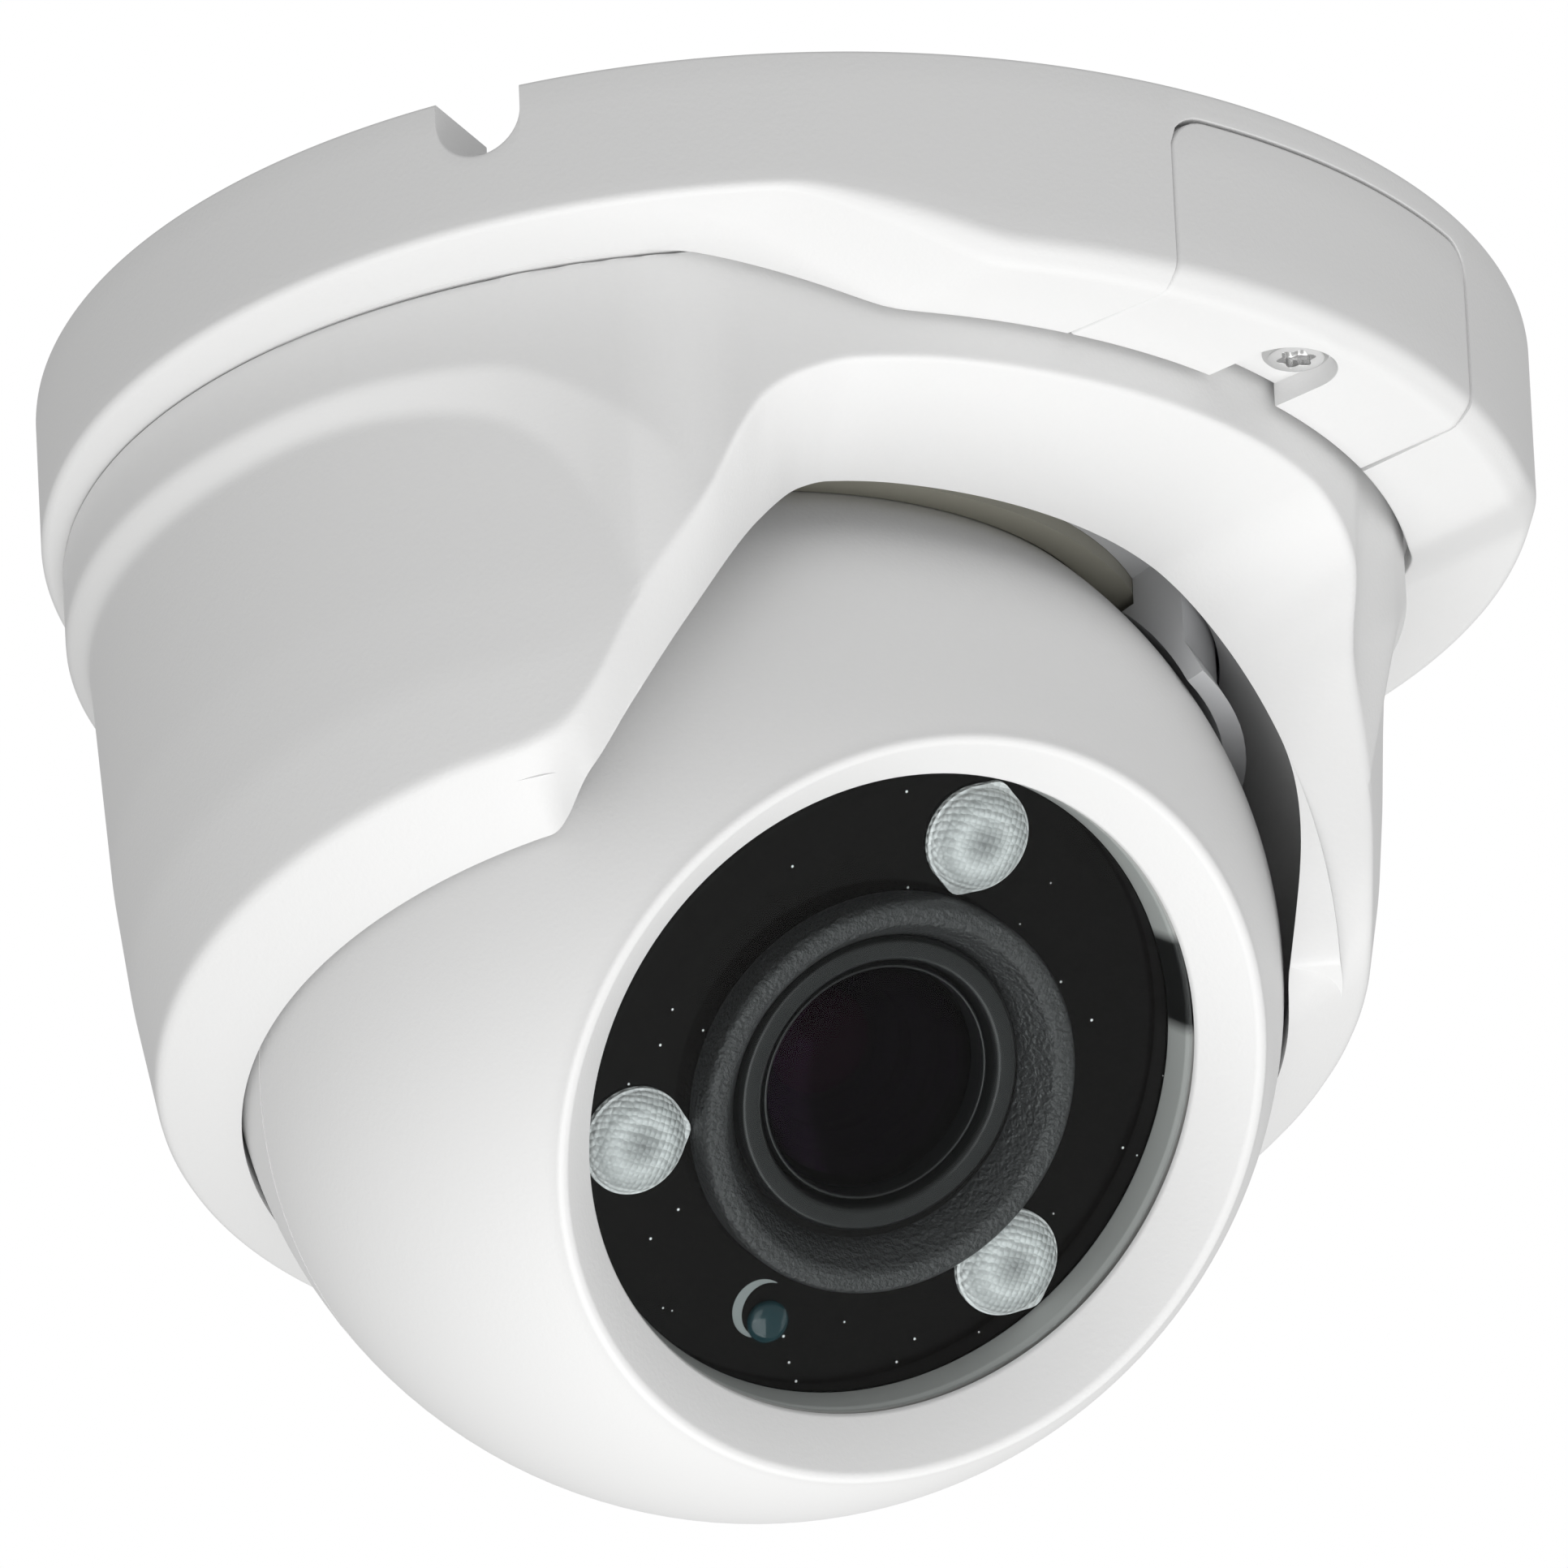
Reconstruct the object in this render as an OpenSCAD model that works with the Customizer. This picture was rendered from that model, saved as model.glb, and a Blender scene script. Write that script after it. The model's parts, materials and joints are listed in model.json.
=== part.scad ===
// Ceiling-mounted turret dome camera: base ring, panning cover, tilting eyeball.
// Origin: centre of the ceiling face. +Z points up into the ceiling, so the camera
// hangs below z = 0. The slot of the cover and the lens look towards -Y at rest.

/* [Base] */
// Radius of the base ring
ring_r = 63; // [62:0.5:66]
// Depth of the base ring below the ceiling
ring_h = 12.6; // [12:0.1:13.5]
// Depth of the thick sector that carries the access cover
block_h = 18.7; // [18:0.1:19]
// Half width of the flat underside of the thick sector
block_flat = 33; // [30:0.5:35]
// Half width of the thick sector at the top of its end ramps
block_foot = 46; // [42:0.5:50]
// Bearing from the lens of the access cover's middle, degrees
door_az = 13.7; // [10:0.1:20]
// Half width of the access cover
door_w = 18.4; // [17:0.1:19]
// Bearing of the cable exit notch
notch_az = -58.3; // [-70:0.1:-50]
// Width of the cable exit notch
notch_w = 7.7; // [7:0.1:8]
// Depth of the cable exit notch
notch_d = 5.7; // [5:0.1:6]
// Radius of the mounting screw holes
mount_r = 2.25; // [2:0.05:2.5]
// Radius of the circle that the mounting holes lie on
mount_circle = 49.5; // [49:0.1:50]

/* [Turret] */
// Distance from the ring's centre to the pan axis
pan_off = 6.4; // [6:0.1:6.6]
// Radius of the running bore that the pan hub turns in
pan_bore = 42; // [41:0.1:42.5]
// Outer radius of the cover's neck
neck_r = 56.6; // [56.2:0.1:56.8]
// Radius of the cover's inner cavity round the eyeball
cavity_r = 49.4; // [49.2:0.1:49.6]

/* [Eyeball] */
// Radius of the eyeball
ball_r = 44.5; // [44:0.1:44.6]
// Depth of the eyeball's centre below the ceiling
ball_z = 54.34; // [54:0.1:55]
// Angle of the optical axis from straight down at rest
tilt_rest = 47.4; // [20:0.1:60]
// Wall thickness of the eyeball shells
shell_t = 2.2; // [2:0.1:2.6]
// Place of the seam between the shells, along the optical axis
seam_s = -4; // [-6:0.5:-3]
// Place of the flat front face, along the optical axis
face_s = 30; // [29.5:0.1:30.5]
// Radius of the window opening
window_r = 28.5; // [28:0.1:28.8]
// Radius of the circle that the infrared lenses lie on
led_circle = 22.3; // [22:0.1:22.5]
// Turn of the first infrared lens from the eyeball's top
led_turn = 3; // [0:1:10]

/* [Lens] */
// Outer radius of the lens barrel
barrel_r = 11.8; // [11.5:0.1:12]
// Radius of the front glass element
element_r = 8.5; // [8:0.1:8.8]
// Outer radius of the focus and zoom rings
ring_grip_r = 13.8; // [13.5:0.1:14]

/* [Hidden] */
$fn = 96;
eps = 0.02;
run = 0.05;
pan_x = -pan_off * sin(door_az);
pan_y = pan_off * cos(door_az);
wall = 2.4;
plate_top = -(ring_h - 3);
ramp_top = block_foot + 1.5 * (block_foot - block_flat) / (block_h - ring_h);
gasket_ledge = 1.6;
door_top = -3;
door_t = 1.8;
door_gap = 0.2;
bay_w = 15;
bay_wall_r = neck_r + 1.9;
recess_r = neck_r + 0.5;
post_y = 56.8;
screw_floor = -(block_h - 2.2);
flange_r = 45.2;
hub_top = plate_top + 0.6;
hub_r = pan_bore - run;
hub_in = 38;
shelf_top = -21.6;
shelf_low = -26;
shelf_in = 40.5;
neck_top = -(ring_h + 0.35);
neck_in = 53;
dome_in = ball_r + 0.6;
dome_out = ball_r + 2.3;
saddle_in = dome_out + 0.6;
saddle_out = saddle_in + 0.8;
corridor_w = 13.3;
saddle_w = 13;
stud_r = 5;
stud_end = cavity_r - 0.5;
lip_drop = 62.3;
lip_slope = 7.4;
ball_in = ball_r - shell_t;
seat_r = 34.6;
seat_low = 31.4;
seat_top = 34.4;
board_r = 29.5;
boss_circle = 34;
access_circle = 48.8;
access_az = [60, 180, 300];
mount_az = [0, 120, 240];
retainer_circle = 39.9;
retainer_az = [90, 210, 330];
led_az = [for (i = [0:2]) 270 + led_turn + 120 * i];
post_az = [30, 150, 270];

// Places ---------------------------------------------------------------

// A bearing is counted from -Y towards +X, seen from above.
module at_bearing(az, r) rotate(az) translate([0, -r, 0]) children();
module on_pan() translate([pan_x, pan_y, 0]) children();
module on_door() rotate(door_az) children();
module at_ball() on_pan() translate([0, 0, -ball_z]) children();
// Inside the eyeball +Z points to the back, and s counts forward from its centre.
module in_eye() at_ball() rotate([-tilt_rest, 0, 0]) children();
module at_led(i) rotate(led_az[i]) translate([led_circle, 0, 0]) children();

module spun(points) rotate_extrude() polygon(points);
module drum(r, low, high) translate([0, 0, low]) cylinder(r = r, h = high - low);
module tube(r_out, r_in, low, high) difference() {
    drum(r_out, low, high);
    drum(r_in, low - 1, high + 1);
}
// Discs and tubes given by their stations along the optical axis
module s_drum(r, s0, s1) drum(r, -s1, -s0);
module s_tube(r_out, r_in, s0, s1) tube(r_out, r_in, -s1, -s0);
module s_box(w, h, s0, s1) translate([-w / 2, -h / 2, -s1]) cube([w, h, s1 - s0]);
module screw(head_r, head_h, shank_r, shank_h) difference() {
    union() {
        cylinder(r = head_r, h = head_h);
        translate([0, 0, -shank_h]) cylinder(r = shank_r, h = shank_h + eps);
    }
    translate([0, 0, head_h - 0.9]) cylinder(r = head_r * 0.5, h = 1, $fn = 6);
}

// Base -----------------------------------------------------------------

module ring_solid() spun([[0, 0], [ring_r, 0], [ring_r, 1.2 - ring_h],
    [ring_r - 1.2, -ring_h], [0, -ring_h]]);
module deep_solid() spun([[0, 0], [ring_r, 0], [ring_r, 1.7 - block_h],
    [ring_r - 1.7, -block_h], [0, -block_h]]);
module block_prism() on_door() rotate([90, 0, 0]) linear_extrude(80)
    polygon([[-ramp_top, 0], [-ramp_top, 1.5 - ring_h], [-block_flat, -block_h - eps],
        [block_flat, -block_h - eps], [ramp_top, 1.5 - ring_h], [ramp_top, 0]]);
module door_zone(half, low, high, near) on_door()
    translate([-half, -near - 60, low]) cube([half * 2, 60, high - low]);
module notch(extra) at_bearing(notch_az, ring_r) rotate([90, 0, 0])
    translate([0, 0, -8]) linear_extrude(16) union() {
        translate([-notch_w / 2, notch_w / 2 - notch_d]) square([notch_w, notch_d + extra]);
        translate([0, notch_w / 2 - notch_d]) circle(r = notch_w / 2);
    }
module bay_hollow(t0, t1) intersection() {
    on_door() translate([t0, -80, -block_h + 1.8]) cube([t1 - t0, 80, block_h]);
    difference() {
        drum(ring_r - wall + 0.4, -block_h, plate_top + eps);
        on_pan() drum(bay_wall_r, -block_h - 1, 1);
    }
}
module base_housing() color("whitesmoke") difference() {
    union() {
        difference() {
            union() {
                ring_solid();
                intersection() { deep_solid(); block_prism(); }
            }
            drum(ring_r - wall, plate_top, 1);
            on_pan() drum(recess_r, -block_h - 1, -ring_h);
            on_pan() drum(pan_bore, -ring_h - 1, 1);
            bay_hollow(-bay_w, bay_w);
            bay_hollow(20.5, 31);
            bay_hollow(-31, -20.5);
            // rebate that takes the access cover
            difference() {
                door_zone(door_w + door_gap, -block_h - 1, door_top, 20);
                drum(ring_r - 2, -block_h + door_t, 1);
            }
            door_zone(bay_w, -block_h - 1, door_top, post_y - 2);
        }
        tube(ring_r - wall + eps, ring_r - wall - 2.2, -gasket_ledge - 1.8, -gasket_ledge);
        on_pan() for (az = mount_az) at_bearing(az, mount_circle) drum(4, plate_top - eps, 0);
        // post that the access cover's screw holds in
        on_door() translate([0, -post_y, 0]) drum(2.4, -14.6, 0);
        on_door() translate([-1.5, -ring_r + wall - 0.5, -2.8]) cube([3, 4, 2.8]);
        // pads that the service board stands on
        for (t = [-11, 11]) on_door() translate([t, -52.9, -13]) rotate([-90, 0, 0])
            cylinder(r = 1.6, h = 2.6);
    }
    on_pan() for (az = mount_az) at_bearing(az, mount_circle) drum(mount_r, -ring_h - 1, 1);
    on_pan() for (az = access_az) at_bearing(az, access_circle) drum(3, -ring_h - 1, 1);
    on_door() translate([0, -post_y, 0]) drum(1.25, -14.7, -4);
    notch(10);
}
module ceiling_gasket() color("dimgray") difference() {
    tube(ring_r - wall - 0.1, ring_r - wall - 2, -gasket_ledge, 0);
    notch(10);
    on_door() translate([0, -post_y, 0]) drum(4.2, -3, 1);
    on_door() translate([-1.8, -ring_r, -3]) cube([3.6, 6, 4]);
}
module access_cover() color("whitesmoke") difference() {
    union() {
        intersection() {
            deep_solid();
            door_zone(door_w, -block_h - eps, door_top - door_gap, 20);
            union() {
                tube(ring_r + 1, ring_r - 1.4, -block_h, 0);
                drum(ring_r + 1, -block_h - 1, -block_h + door_t - 0.1);
            }
        }
        intersection() {
            on_door() translate([-5.2, -60.2, -block_h + 1]) cube([10.4, 7.8, 2.9]);
            drum(ring_r - 2.5, -30, 0);
        }
    }
    on_pan() drum(recess_r + 1.6, -block_h + door_t - 0.1, 0);
    on_pan() drum(recess_r + 0.1, -block_h - 1, 0);
    // pocket that hides the screw head, open towards the neck
    on_door() translate([0, -post_y + 1, -block_h - 1]) {
        cylinder(r = 4.2, h = 1 + block_h + screw_floor);
        translate([-4.2, 0, 0]) cube([8.4, 12, 1 + block_h + screw_floor]);
    }
    on_door() translate([0, -post_y, 0]) drum(1.5, -30, 0);
}
module access_cover_gasket() color("black") intersection() {
    tube(ring_r - 1.45, ring_r - 1.95, -block_h + door_t + 0.2, door_top - 0.4);
    difference() {
        door_zone(door_w - 0.2, -30, 0, 40);
        door_zone(bay_w + 0.4, -block_h + door_t + 2, door_top - 2, 40);
    }
}
module access_cover_screw() color("silver") on_door()
    translate([0, -post_y, screw_floor]) mirror([0, 0, 1]) screw(2.5, 1.5, 1.2, 9);
module service_board() color("darkgreen") on_door()
    translate([-14, -53.95, -14.6]) cube([28, 1, 10.6]);
module card_socket() color("silver") on_door() difference() {
    translate([-13.4, -55.75, -14.4]) cube([10.6, 1.8, 9.8]);
    translate([-12.8, -55.3, -14.5]) cube([9.4, 0.9, 8.9]);
}
module memory_card() color("black") on_door() translate([-12.6, -55.2, -14.7]) cube([9, 0.7, 8.9]);
module reset_switch() color("black") on_door() difference() {
    translate([6, -56.2, -13.5]) cube([7, 2.25, 7]);
    translate([9.5, -57, -10]) rotate([-90, 0, 0]) cylinder(r = 1.8, h = 2.4);
}
module reset_button() color("firebrick") on_door() translate([9.5, -57.2, -10]) rotate([-90, 0, 0])
    cylinder(r = 1.75, h = 2.2);
module pan_friction_ring() color("wheat") on_pan()
    tube(flange_r, pan_bore + 0.3, plate_top, hub_top - 0.05);

// Turret ---------------------------------------------------------------

// half outlines of the slot, on the eyeball's side and on the outside
slot_in = [[16.6, 27.7], [19.2, 26.7], [23.6, 22.5], [31, 12], [38.7, -4], [40.5, -10], [40.5, -34]];
slot_out = [[22, 31.8], [30, 30.6], [38, 27.5], [50, 22], [72, 12], [90, 2], [90, -34]];
module slot_slice(top, half, y) translate([0, y, 0]) rotate([90, 0, 0]) linear_extrude(0.1)
    polygon(concat([[0, top]], half, [for (i = [len(half) - 1:-1:0]) [-half[i][0], half[i][1]]]));
module slot_cut() {
    hull() {
        slot_slice(28.3, slot_in, -36.5);
        slot_slice(32, slot_out, -58);
    }
    hull() {
        slot_slice(28.3, slot_in, -36.4);
        slot_slice(28.3, slot_in, -24);
    }
}
module turret_cover() color("whitesmoke") difference() {
    on_pan() spun([[0, neck_top], [neck_r - 1, neck_top], [neck_r, neck_top - 1],
        [neck_r, -19.3], [54.6, -21.3], [53.9, -33], [53.3, -43], [52.2, -52], [51, -57.2],
        [48.6, -61.5], [46.6, -66], [45.6, -70], [0, -70]]);
    on_pan() drum(neck_in, shelf_top, 0);
    on_pan() drum(shelf_in, shelf_low - 10, 0);
    at_ball() intersection() {
        sphere(r = cavity_r);
        drum(60, -1.5, ball_z + shelf_low);
    }
    at_ball() sphere(r = ball_r + 0.45);
    at_ball() slot_cut();
    // the mouth is cut by a plane that drops towards the back
    on_pan() translate([0, 0, -lip_drop]) rotate([-lip_slope, 0, 0]) drum(80, -40, 0);
    on_pan() for (az = access_az) at_bearing(az, access_circle) drum(1.25, -31, 0);
}
module travel_corridor(r) intersection() {
    difference() { sphere(r = r); sphere(r = dome_out); }
    translate([-corridor_w, -15, -2]) cube([corridor_w * 2, 90, 90]);
}
module pan_retaining_ring() color("silver") on_pan() difference() {
    tube(flange_r, hub_in, hub_top, hub_top + 2);
    for (az = retainer_az) at_bearing(az, retainer_circle) drum(1.15, -20, 0);
}
module retainer_screws() color("silver") on_pan() for (az = retainer_az)
    at_bearing(az, retainer_circle) translate([0, 0, hub_top + 2]) screw(1.8, 1.4, 1, 7);
module pan_bracket() color("dimgray") difference() {
    union() {
        on_pan() tube(hub_r, hub_in, shelf_top, hub_top);
        on_pan() tube(neck_in - 0.5, hub_in, shelf_top, shelf_top + 2.4);
        on_pan() drum(hub_in + eps, shelf_top, shelf_top + 6);
        at_ball() difference() {
            union() {
                // skirt that joins the dome to the hub round the seat ring
                tube(shelf_in - 0.3, seat_r, 24, ball_z + shelf_top + eps);
                intersection() { sphere(r = dome_out); drum(60, 2, 60); }
            }
            translate([-60, -70, 0]) cube([120, 64, 20]);
            // open behind the slot, so that the ball shows right up to the lip
            translate([-60, -70, 0]) cube([82, 62, ball_z + shelf_top]);
        }
    }
    at_ball() sphere(r = dome_in);
    at_ball() travel_corridor(cavity_r + 0.1);
    at_ball() intersection() {
        sphere(r = dome_out + eps);
        translate([-stud_r - 1, -stud_r - 1, 5.5]) cube([stud_r * 2 + 2, 60, 60]);
    }
    at_ball() drum(seat_r + 0.05, seat_low - 1, seat_top + 0.05);
    on_pan() for (az = retainer_az) at_bearing(az, retainer_circle) drum(1.05, hub_top - 6, 0);
    on_pan() for (az = access_az) at_bearing(az, access_circle) drum(1.5, -31, 0);
}
module ball_seat_ring() color("wheat") at_ball() difference() {
    drum(seat_r, seat_low, seat_top);
    sphere(r = ball_r + 0.08);
    translate([-corridor_w - 0.3, 0, 0]) cube([corridor_w * 2 + 0.6, 60, 60]);
}
module cover_screws() color("silver") on_pan() for (az = access_az)
    at_bearing(az, access_circle) translate([0, 0, shelf_top + 2.4]) screw(2.3, 1.8, 1.2, 9);
module cable_grommet() color("black") in_eye() difference() {
    union() {
        drum(3.15, 39.5, stud_end);
        drum(4.2, 38, 39.55);
    }
    drum(2.4, 30, 60);
}
module tilt_saddle() color("silver") in_eye() difference() {
    intersection() {
        sphere(r = saddle_out);
        translate([-saddle_w, -8, 10]) cube([saddle_w * 2, 16, 50]);
    }
    sphere(r = saddle_in);
    drum(stud_r + run, 10, 60);
}
module saddle_slide_pad() color("wheat") in_eye() difference() {
    intersection() {
        sphere(r = saddle_in - 0.02);
        translate([-saddle_w, -8, 10]) cube([saddle_w * 2, 16, 50]);
    }
    sphere(r = dome_out + 0.1);
    drum(stud_r + 0.3, 10, 60);
}

// Eyeball --------------------------------------------------------------

module shell_wall() difference() { sphere(r = ball_r); sphere(r = ball_in); }
module shell_bosses(s0, s1) intersection() {
    sphere(r = ball_r - 0.5);
    for (az = post_az) rotate(az) translate([boss_circle, 0, 0]) {
        s_drum(3.6, s0, s1);
        translate([9, 0, 0]) s_box(14, 2.4, s0, s1);
    }
}
module ball_rear_shell() color("whitesmoke") in_eye() difference() {
    union() {
        intersection() { shell_wall(); drum(60, -seam_s, 60); }
        shell_bosses(-40, seam_s);
    }
    drum(stud_r + 0.02, 20, 60);
    for (az = post_az) rotate(az) translate([boss_circle, 0, 0]) {
        s_drum(2.7, -45, -20);
        s_drum(1.3, -21, 0);
    }
}
module ball_front_shell() color("whitesmoke") in_eye() difference() {
    union() {
        intersection() { shell_wall(); drum(60, -60, -seam_s); }
        intersection() { sphere(r = ball_r); s_tube(60, window_r, 19, 40); }
        shell_bosses(seam_s, 9);
    }
    s_drum(60, face_s, 50);
    spun([[0, -26.2], [window_r, -26.2], [window_r + 3.6, -face_s - eps], [0, -face_s - eps]]);
    s_drum(30.5, 10, 26);
    s_tube(43.8, 42.8, seam_s - 1, seam_s + 0.8);
    for (az = post_az) rotate(az) translate([boss_circle, 0, 0]) s_drum(1.25, -10, 7);
}
module seam_gasket() color("black") in_eye() s_tube(43.75, 42.85, seam_s, seam_s + 0.75);
module shell_screws() color("silver") in_eye() for (az = post_az) rotate(az)
    translate([boss_circle, 0, 20]) screw(2.5, 1.8, 1.2, 24);
module hollow_stud() color("silver") in_eye() difference() {
    union() {
        drum(8, 39.6, 41.4);
        drum(stud_r, 41.3, saddle_out + 0.05);
        drum(stud_r - 0.6, saddle_out, stud_end);
    }
    drum(3.2, 30, 60);
}
module stud_clip() color("silver") in_eye() difference() {
    tube(6.8, stud_r - 0.55, saddle_out + 0.08, saddle_out + 0.48);
    translate([-1.6, -9, 40]) cube([3.2, 6, 12]);
}
module window_glass() color("azure", 0.3) in_eye() s_drum(30.4, 24, 25.5);
module window_gasket() color("black") in_eye() s_tube(30.4, window_r + 0.1, 25.5, 26);
module window_clamp_ring() color("gainsboro") in_eye() difference() {
    s_tube(30.4, 28.2, 19.4, 24);
    rotate(-40) translate([26, -4, -24.1]) cube([6, 8, 2.6]);
}
module led_holes(r) for (i = [0:2]) at_led(i) s_drum(r, 0, 40);
module led_cover() color("black") in_eye() difference() {
    s_drum(28, 20.6, 22);
    s_drum(12.2, 10, 30);
    led_holes(4.5);
    rotate(90 + 3) translate([led_circle, 0, 0]) s_drum(2, 0, 40);
    rotate(-40) translate([26.2, -4, -30]) cube([6, 8, 20]);
}
module led_board() color("darkgreen") in_eye() difference() {
    s_drum(28, 18, 19.4);
    s_drum(14.2, 10, 30);
}
module ir_leds() color("gold") in_eye() for (i = [0:2]) at_led(i) {
    s_box(3.4, 3.4, 19.4, 19.9);
    s_drum(1.1, 19.8, 20.2);
}
module ir_lens(i) color("white", 0.6) in_eye() difference() {
    union() {
        at_led(i) s_drum(4.3, 19.4, 23.2);
        at_led(i) intersection() {
            s_drum(3.9, 23.1, 26);
            translate([0, 0, -13.6]) sphere(r = 10.2);
        }
    }
    at_led(i) s_drum(2.6, 19, 20.8);
}
module light_sensor() color("teal") in_eye() rotate(93) translate([led_circle, 0, 0]) {
    s_box(3, 3, 19.4, 20.1);
    s_drum(1, 20, 20.5);
}
module light_guide() color("lightgray") in_eye() rotate(93) translate([led_circle, 0, 0])
    s_drum(1.9, 20.6, 22.3);
module lens_foam_ring() color("black") in_eye() s_tube(17.2, 12.7, 22, 23.5);
module lens_barrel() color("black") in_eye() difference() {
    union() {
        s_drum(barrel_r, 15, 23);
        s_drum(barrel_r - 1, -6, 15.1);
        s_drum(barrel_r, -6, -3);
        s_drum(barrel_r, 6, 8);
    }
    s_drum(9.9, 10, 30);
    s_drum(8.6, -7, 11);
}
module lens_front_ring() color("black") in_eye() difference() {
    s_tube(9.8, element_r + 0.05, 13, 22.4);
    s_tube(20, 9.3, 12.9, 14);
}
module lens_front_element() color("lavender", 0.5) in_eye() intersection() {
    s_drum(element_r, 16.5, 22);
    translate([0, 0, 4.2]) sphere(r = 26);
}
module grip_ring(s0, s1) difference() {
    s_tube(ring_grip_r, barrel_r - 1 + run, s0, s1);
    for (a = [0:20:340]) rotate(a) translate([ring_grip_r + 0.5, 0, 0]) s_drum(0.9, s0 - 1, s1 + 1);
    rotate(0) translate([0, 0, -(s0 + s1) / 2]) rotate([0, 90, 0]) cylinder(r = 0.8, h = 30);
}
module lock_screw(s) translate([0, 0, -s]) rotate([0, 90, 0]) {
    translate([0, 0, barrel_r + 0.2]) cylinder(r = 0.75, h = 4);
    translate([0, 0, ring_grip_r + 0.4]) cylinder(r = 1.6, h = 3);
}
module focus_ring() color("black") in_eye() grip_ring(8.3, 14.7);
module zoom_ring() color("black") in_eye() grip_ring(-2.7, 5.7);
module focus_lock_screw() color("silver") in_eye() lock_screw(11.5);
module zoom_lock_screw() color("silver") in_eye() lock_screw(1.5);
module lens_rear_group() color("lavender", 0.5) in_eye() {
    s_tube(8.3, 6.5, -2, 4);
    s_drum(6.5, -1, 2.5);
}
module lens_holder() color("black") in_eye() difference() {
    s_box(26, 26, -13, -6.05);
    s_drum(8, -20, 0);
    s_box(23, 11, -10.4, -8.8);
    s_box(14, 12, -14, -10.3);
}
module ir_cut_filter() color("palevioletred", 0.6) in_eye() translate([-3, 0, 0])
    s_box(15, 10, -10, -9.2);
module ir_cut_motor() color("gold") in_eye() translate([17.2, 0, 0]) s_box(8, 9, -12.5, -6.5);
module image_sensor() color("steelblue") in_eye() s_box(10, 8, -13, -11.6);
module sensor_board() color("darkgreen") in_eye() s_box(36, 32, -14.6, -13);
module main_board() color("darkgreen") in_eye() s_drum(board_r, -21.6, -20);
module board_posts() color("goldenrod") in_eye() {
    for (az = [30, 150, 270]) rotate(az) translate([24, 0, 0]) s_drum(2, -20, 18);
    for (x = [-15, 15], y = [-13, 13]) translate([x, y, 0]) s_drum(1.8, -20, -14.6);
}
module board_screws() color("silver") in_eye() for (az = [30, 150, 270]) rotate(az)
    translate([24, 0, 21.6]) cylinder(r = 2.2, h = 1.4);
module heat_spreader() color("silver") in_eye() {
    s_drum(17, -23.6, -22);
    for (y = [-12:4:12]) translate([0, y, 0]) s_box(20, 1.2, -27, -23.5);
}
module board_connectors() color("ivory") in_eye() {
    translate([0, 26, 0]) s_box(14, 4, -20, -16.5);
    translate([0, 23, 0]) s_box(10, 4, -26, -21.6);
}
module ribbon_cable() color("orange") in_eye() {
    translate([0, 26, 0]) s_box(10, 0.4, -16.5, 17.95);
}

base_housing();
ceiling_gasket();
access_cover();
access_cover_gasket();
access_cover_screw();
service_board();
card_socket();
memory_card();
reset_switch();
reset_button();
pan_friction_ring();
turret_cover();
pan_bracket();
pan_retaining_ring();
retainer_screws();
ball_seat_ring();
cover_screws();
cable_grommet();
tilt_saddle();
saddle_slide_pad();
ball_rear_shell();
ball_front_shell();
seam_gasket();
shell_screws();
hollow_stud();
stud_clip();
window_glass();
window_gasket();
window_clamp_ring();
led_cover();
led_board();
ir_leds();
ir_lens(0);  // ir_lens_1
ir_lens(1);  // ir_lens_2
ir_lens(2);  // ir_lens_3
light_sensor();
light_guide();
lens_foam_ring();
lens_barrel();
lens_holder();
image_sensor();
sensor_board();
main_board();
board_posts();
board_screws();
heat_spreader();
board_connectors();
ribbon_cable();
lens_front_ring();
lens_front_element();
focus_ring();
focus_lock_screw();
zoom_ring();
zoom_lock_screw();
lens_rear_group();
ir_cut_filter();
ir_cut_motor();
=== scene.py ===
# %% [markdown]
# # A ceiling turret camera, surface by surface
# The object is a small security camera of the turret kind: a base ring that is screwed to a ceiling, a
# painted cover that pans under it, and a ball that tilts in the cover's slot and holds the lens.
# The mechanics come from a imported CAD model. This lesson makes the skin that the eye sees: each new piece
# is a surface worked out with numpy in millimetres and laid exactly over the solid that it stands for.

# %% Load the frame
import json

import bpy
import numpy as np
from mathutils import Matrix, Vector


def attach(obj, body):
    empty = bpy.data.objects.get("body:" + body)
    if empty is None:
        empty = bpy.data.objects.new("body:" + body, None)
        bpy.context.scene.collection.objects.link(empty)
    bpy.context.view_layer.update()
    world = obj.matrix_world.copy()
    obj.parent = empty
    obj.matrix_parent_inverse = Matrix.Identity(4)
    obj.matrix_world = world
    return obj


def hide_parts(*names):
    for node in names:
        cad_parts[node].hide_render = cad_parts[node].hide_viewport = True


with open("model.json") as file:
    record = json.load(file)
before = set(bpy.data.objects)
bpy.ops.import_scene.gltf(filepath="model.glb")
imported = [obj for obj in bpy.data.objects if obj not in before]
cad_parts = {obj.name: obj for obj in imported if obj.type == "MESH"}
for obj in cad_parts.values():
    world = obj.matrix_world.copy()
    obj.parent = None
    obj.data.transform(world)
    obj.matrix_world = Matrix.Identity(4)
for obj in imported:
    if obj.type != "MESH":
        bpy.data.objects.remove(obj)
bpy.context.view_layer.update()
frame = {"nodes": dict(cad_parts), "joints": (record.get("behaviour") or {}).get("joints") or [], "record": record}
joints = {joint["name"]: joint for joint in frame["joints"]}
nodes = frame["nodes"]

# %% [markdown]
# ## Places that everything hangs on
# The real camera turns about two lines. The pan axis is vertical and lies a little off the ring's centre.
# The eyeball's own axis is where the lens looks. Both are read from the joints, so that a piece is always
# built round the line that it will turn about. Lengths are in millimetres until a mesh is written.

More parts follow.
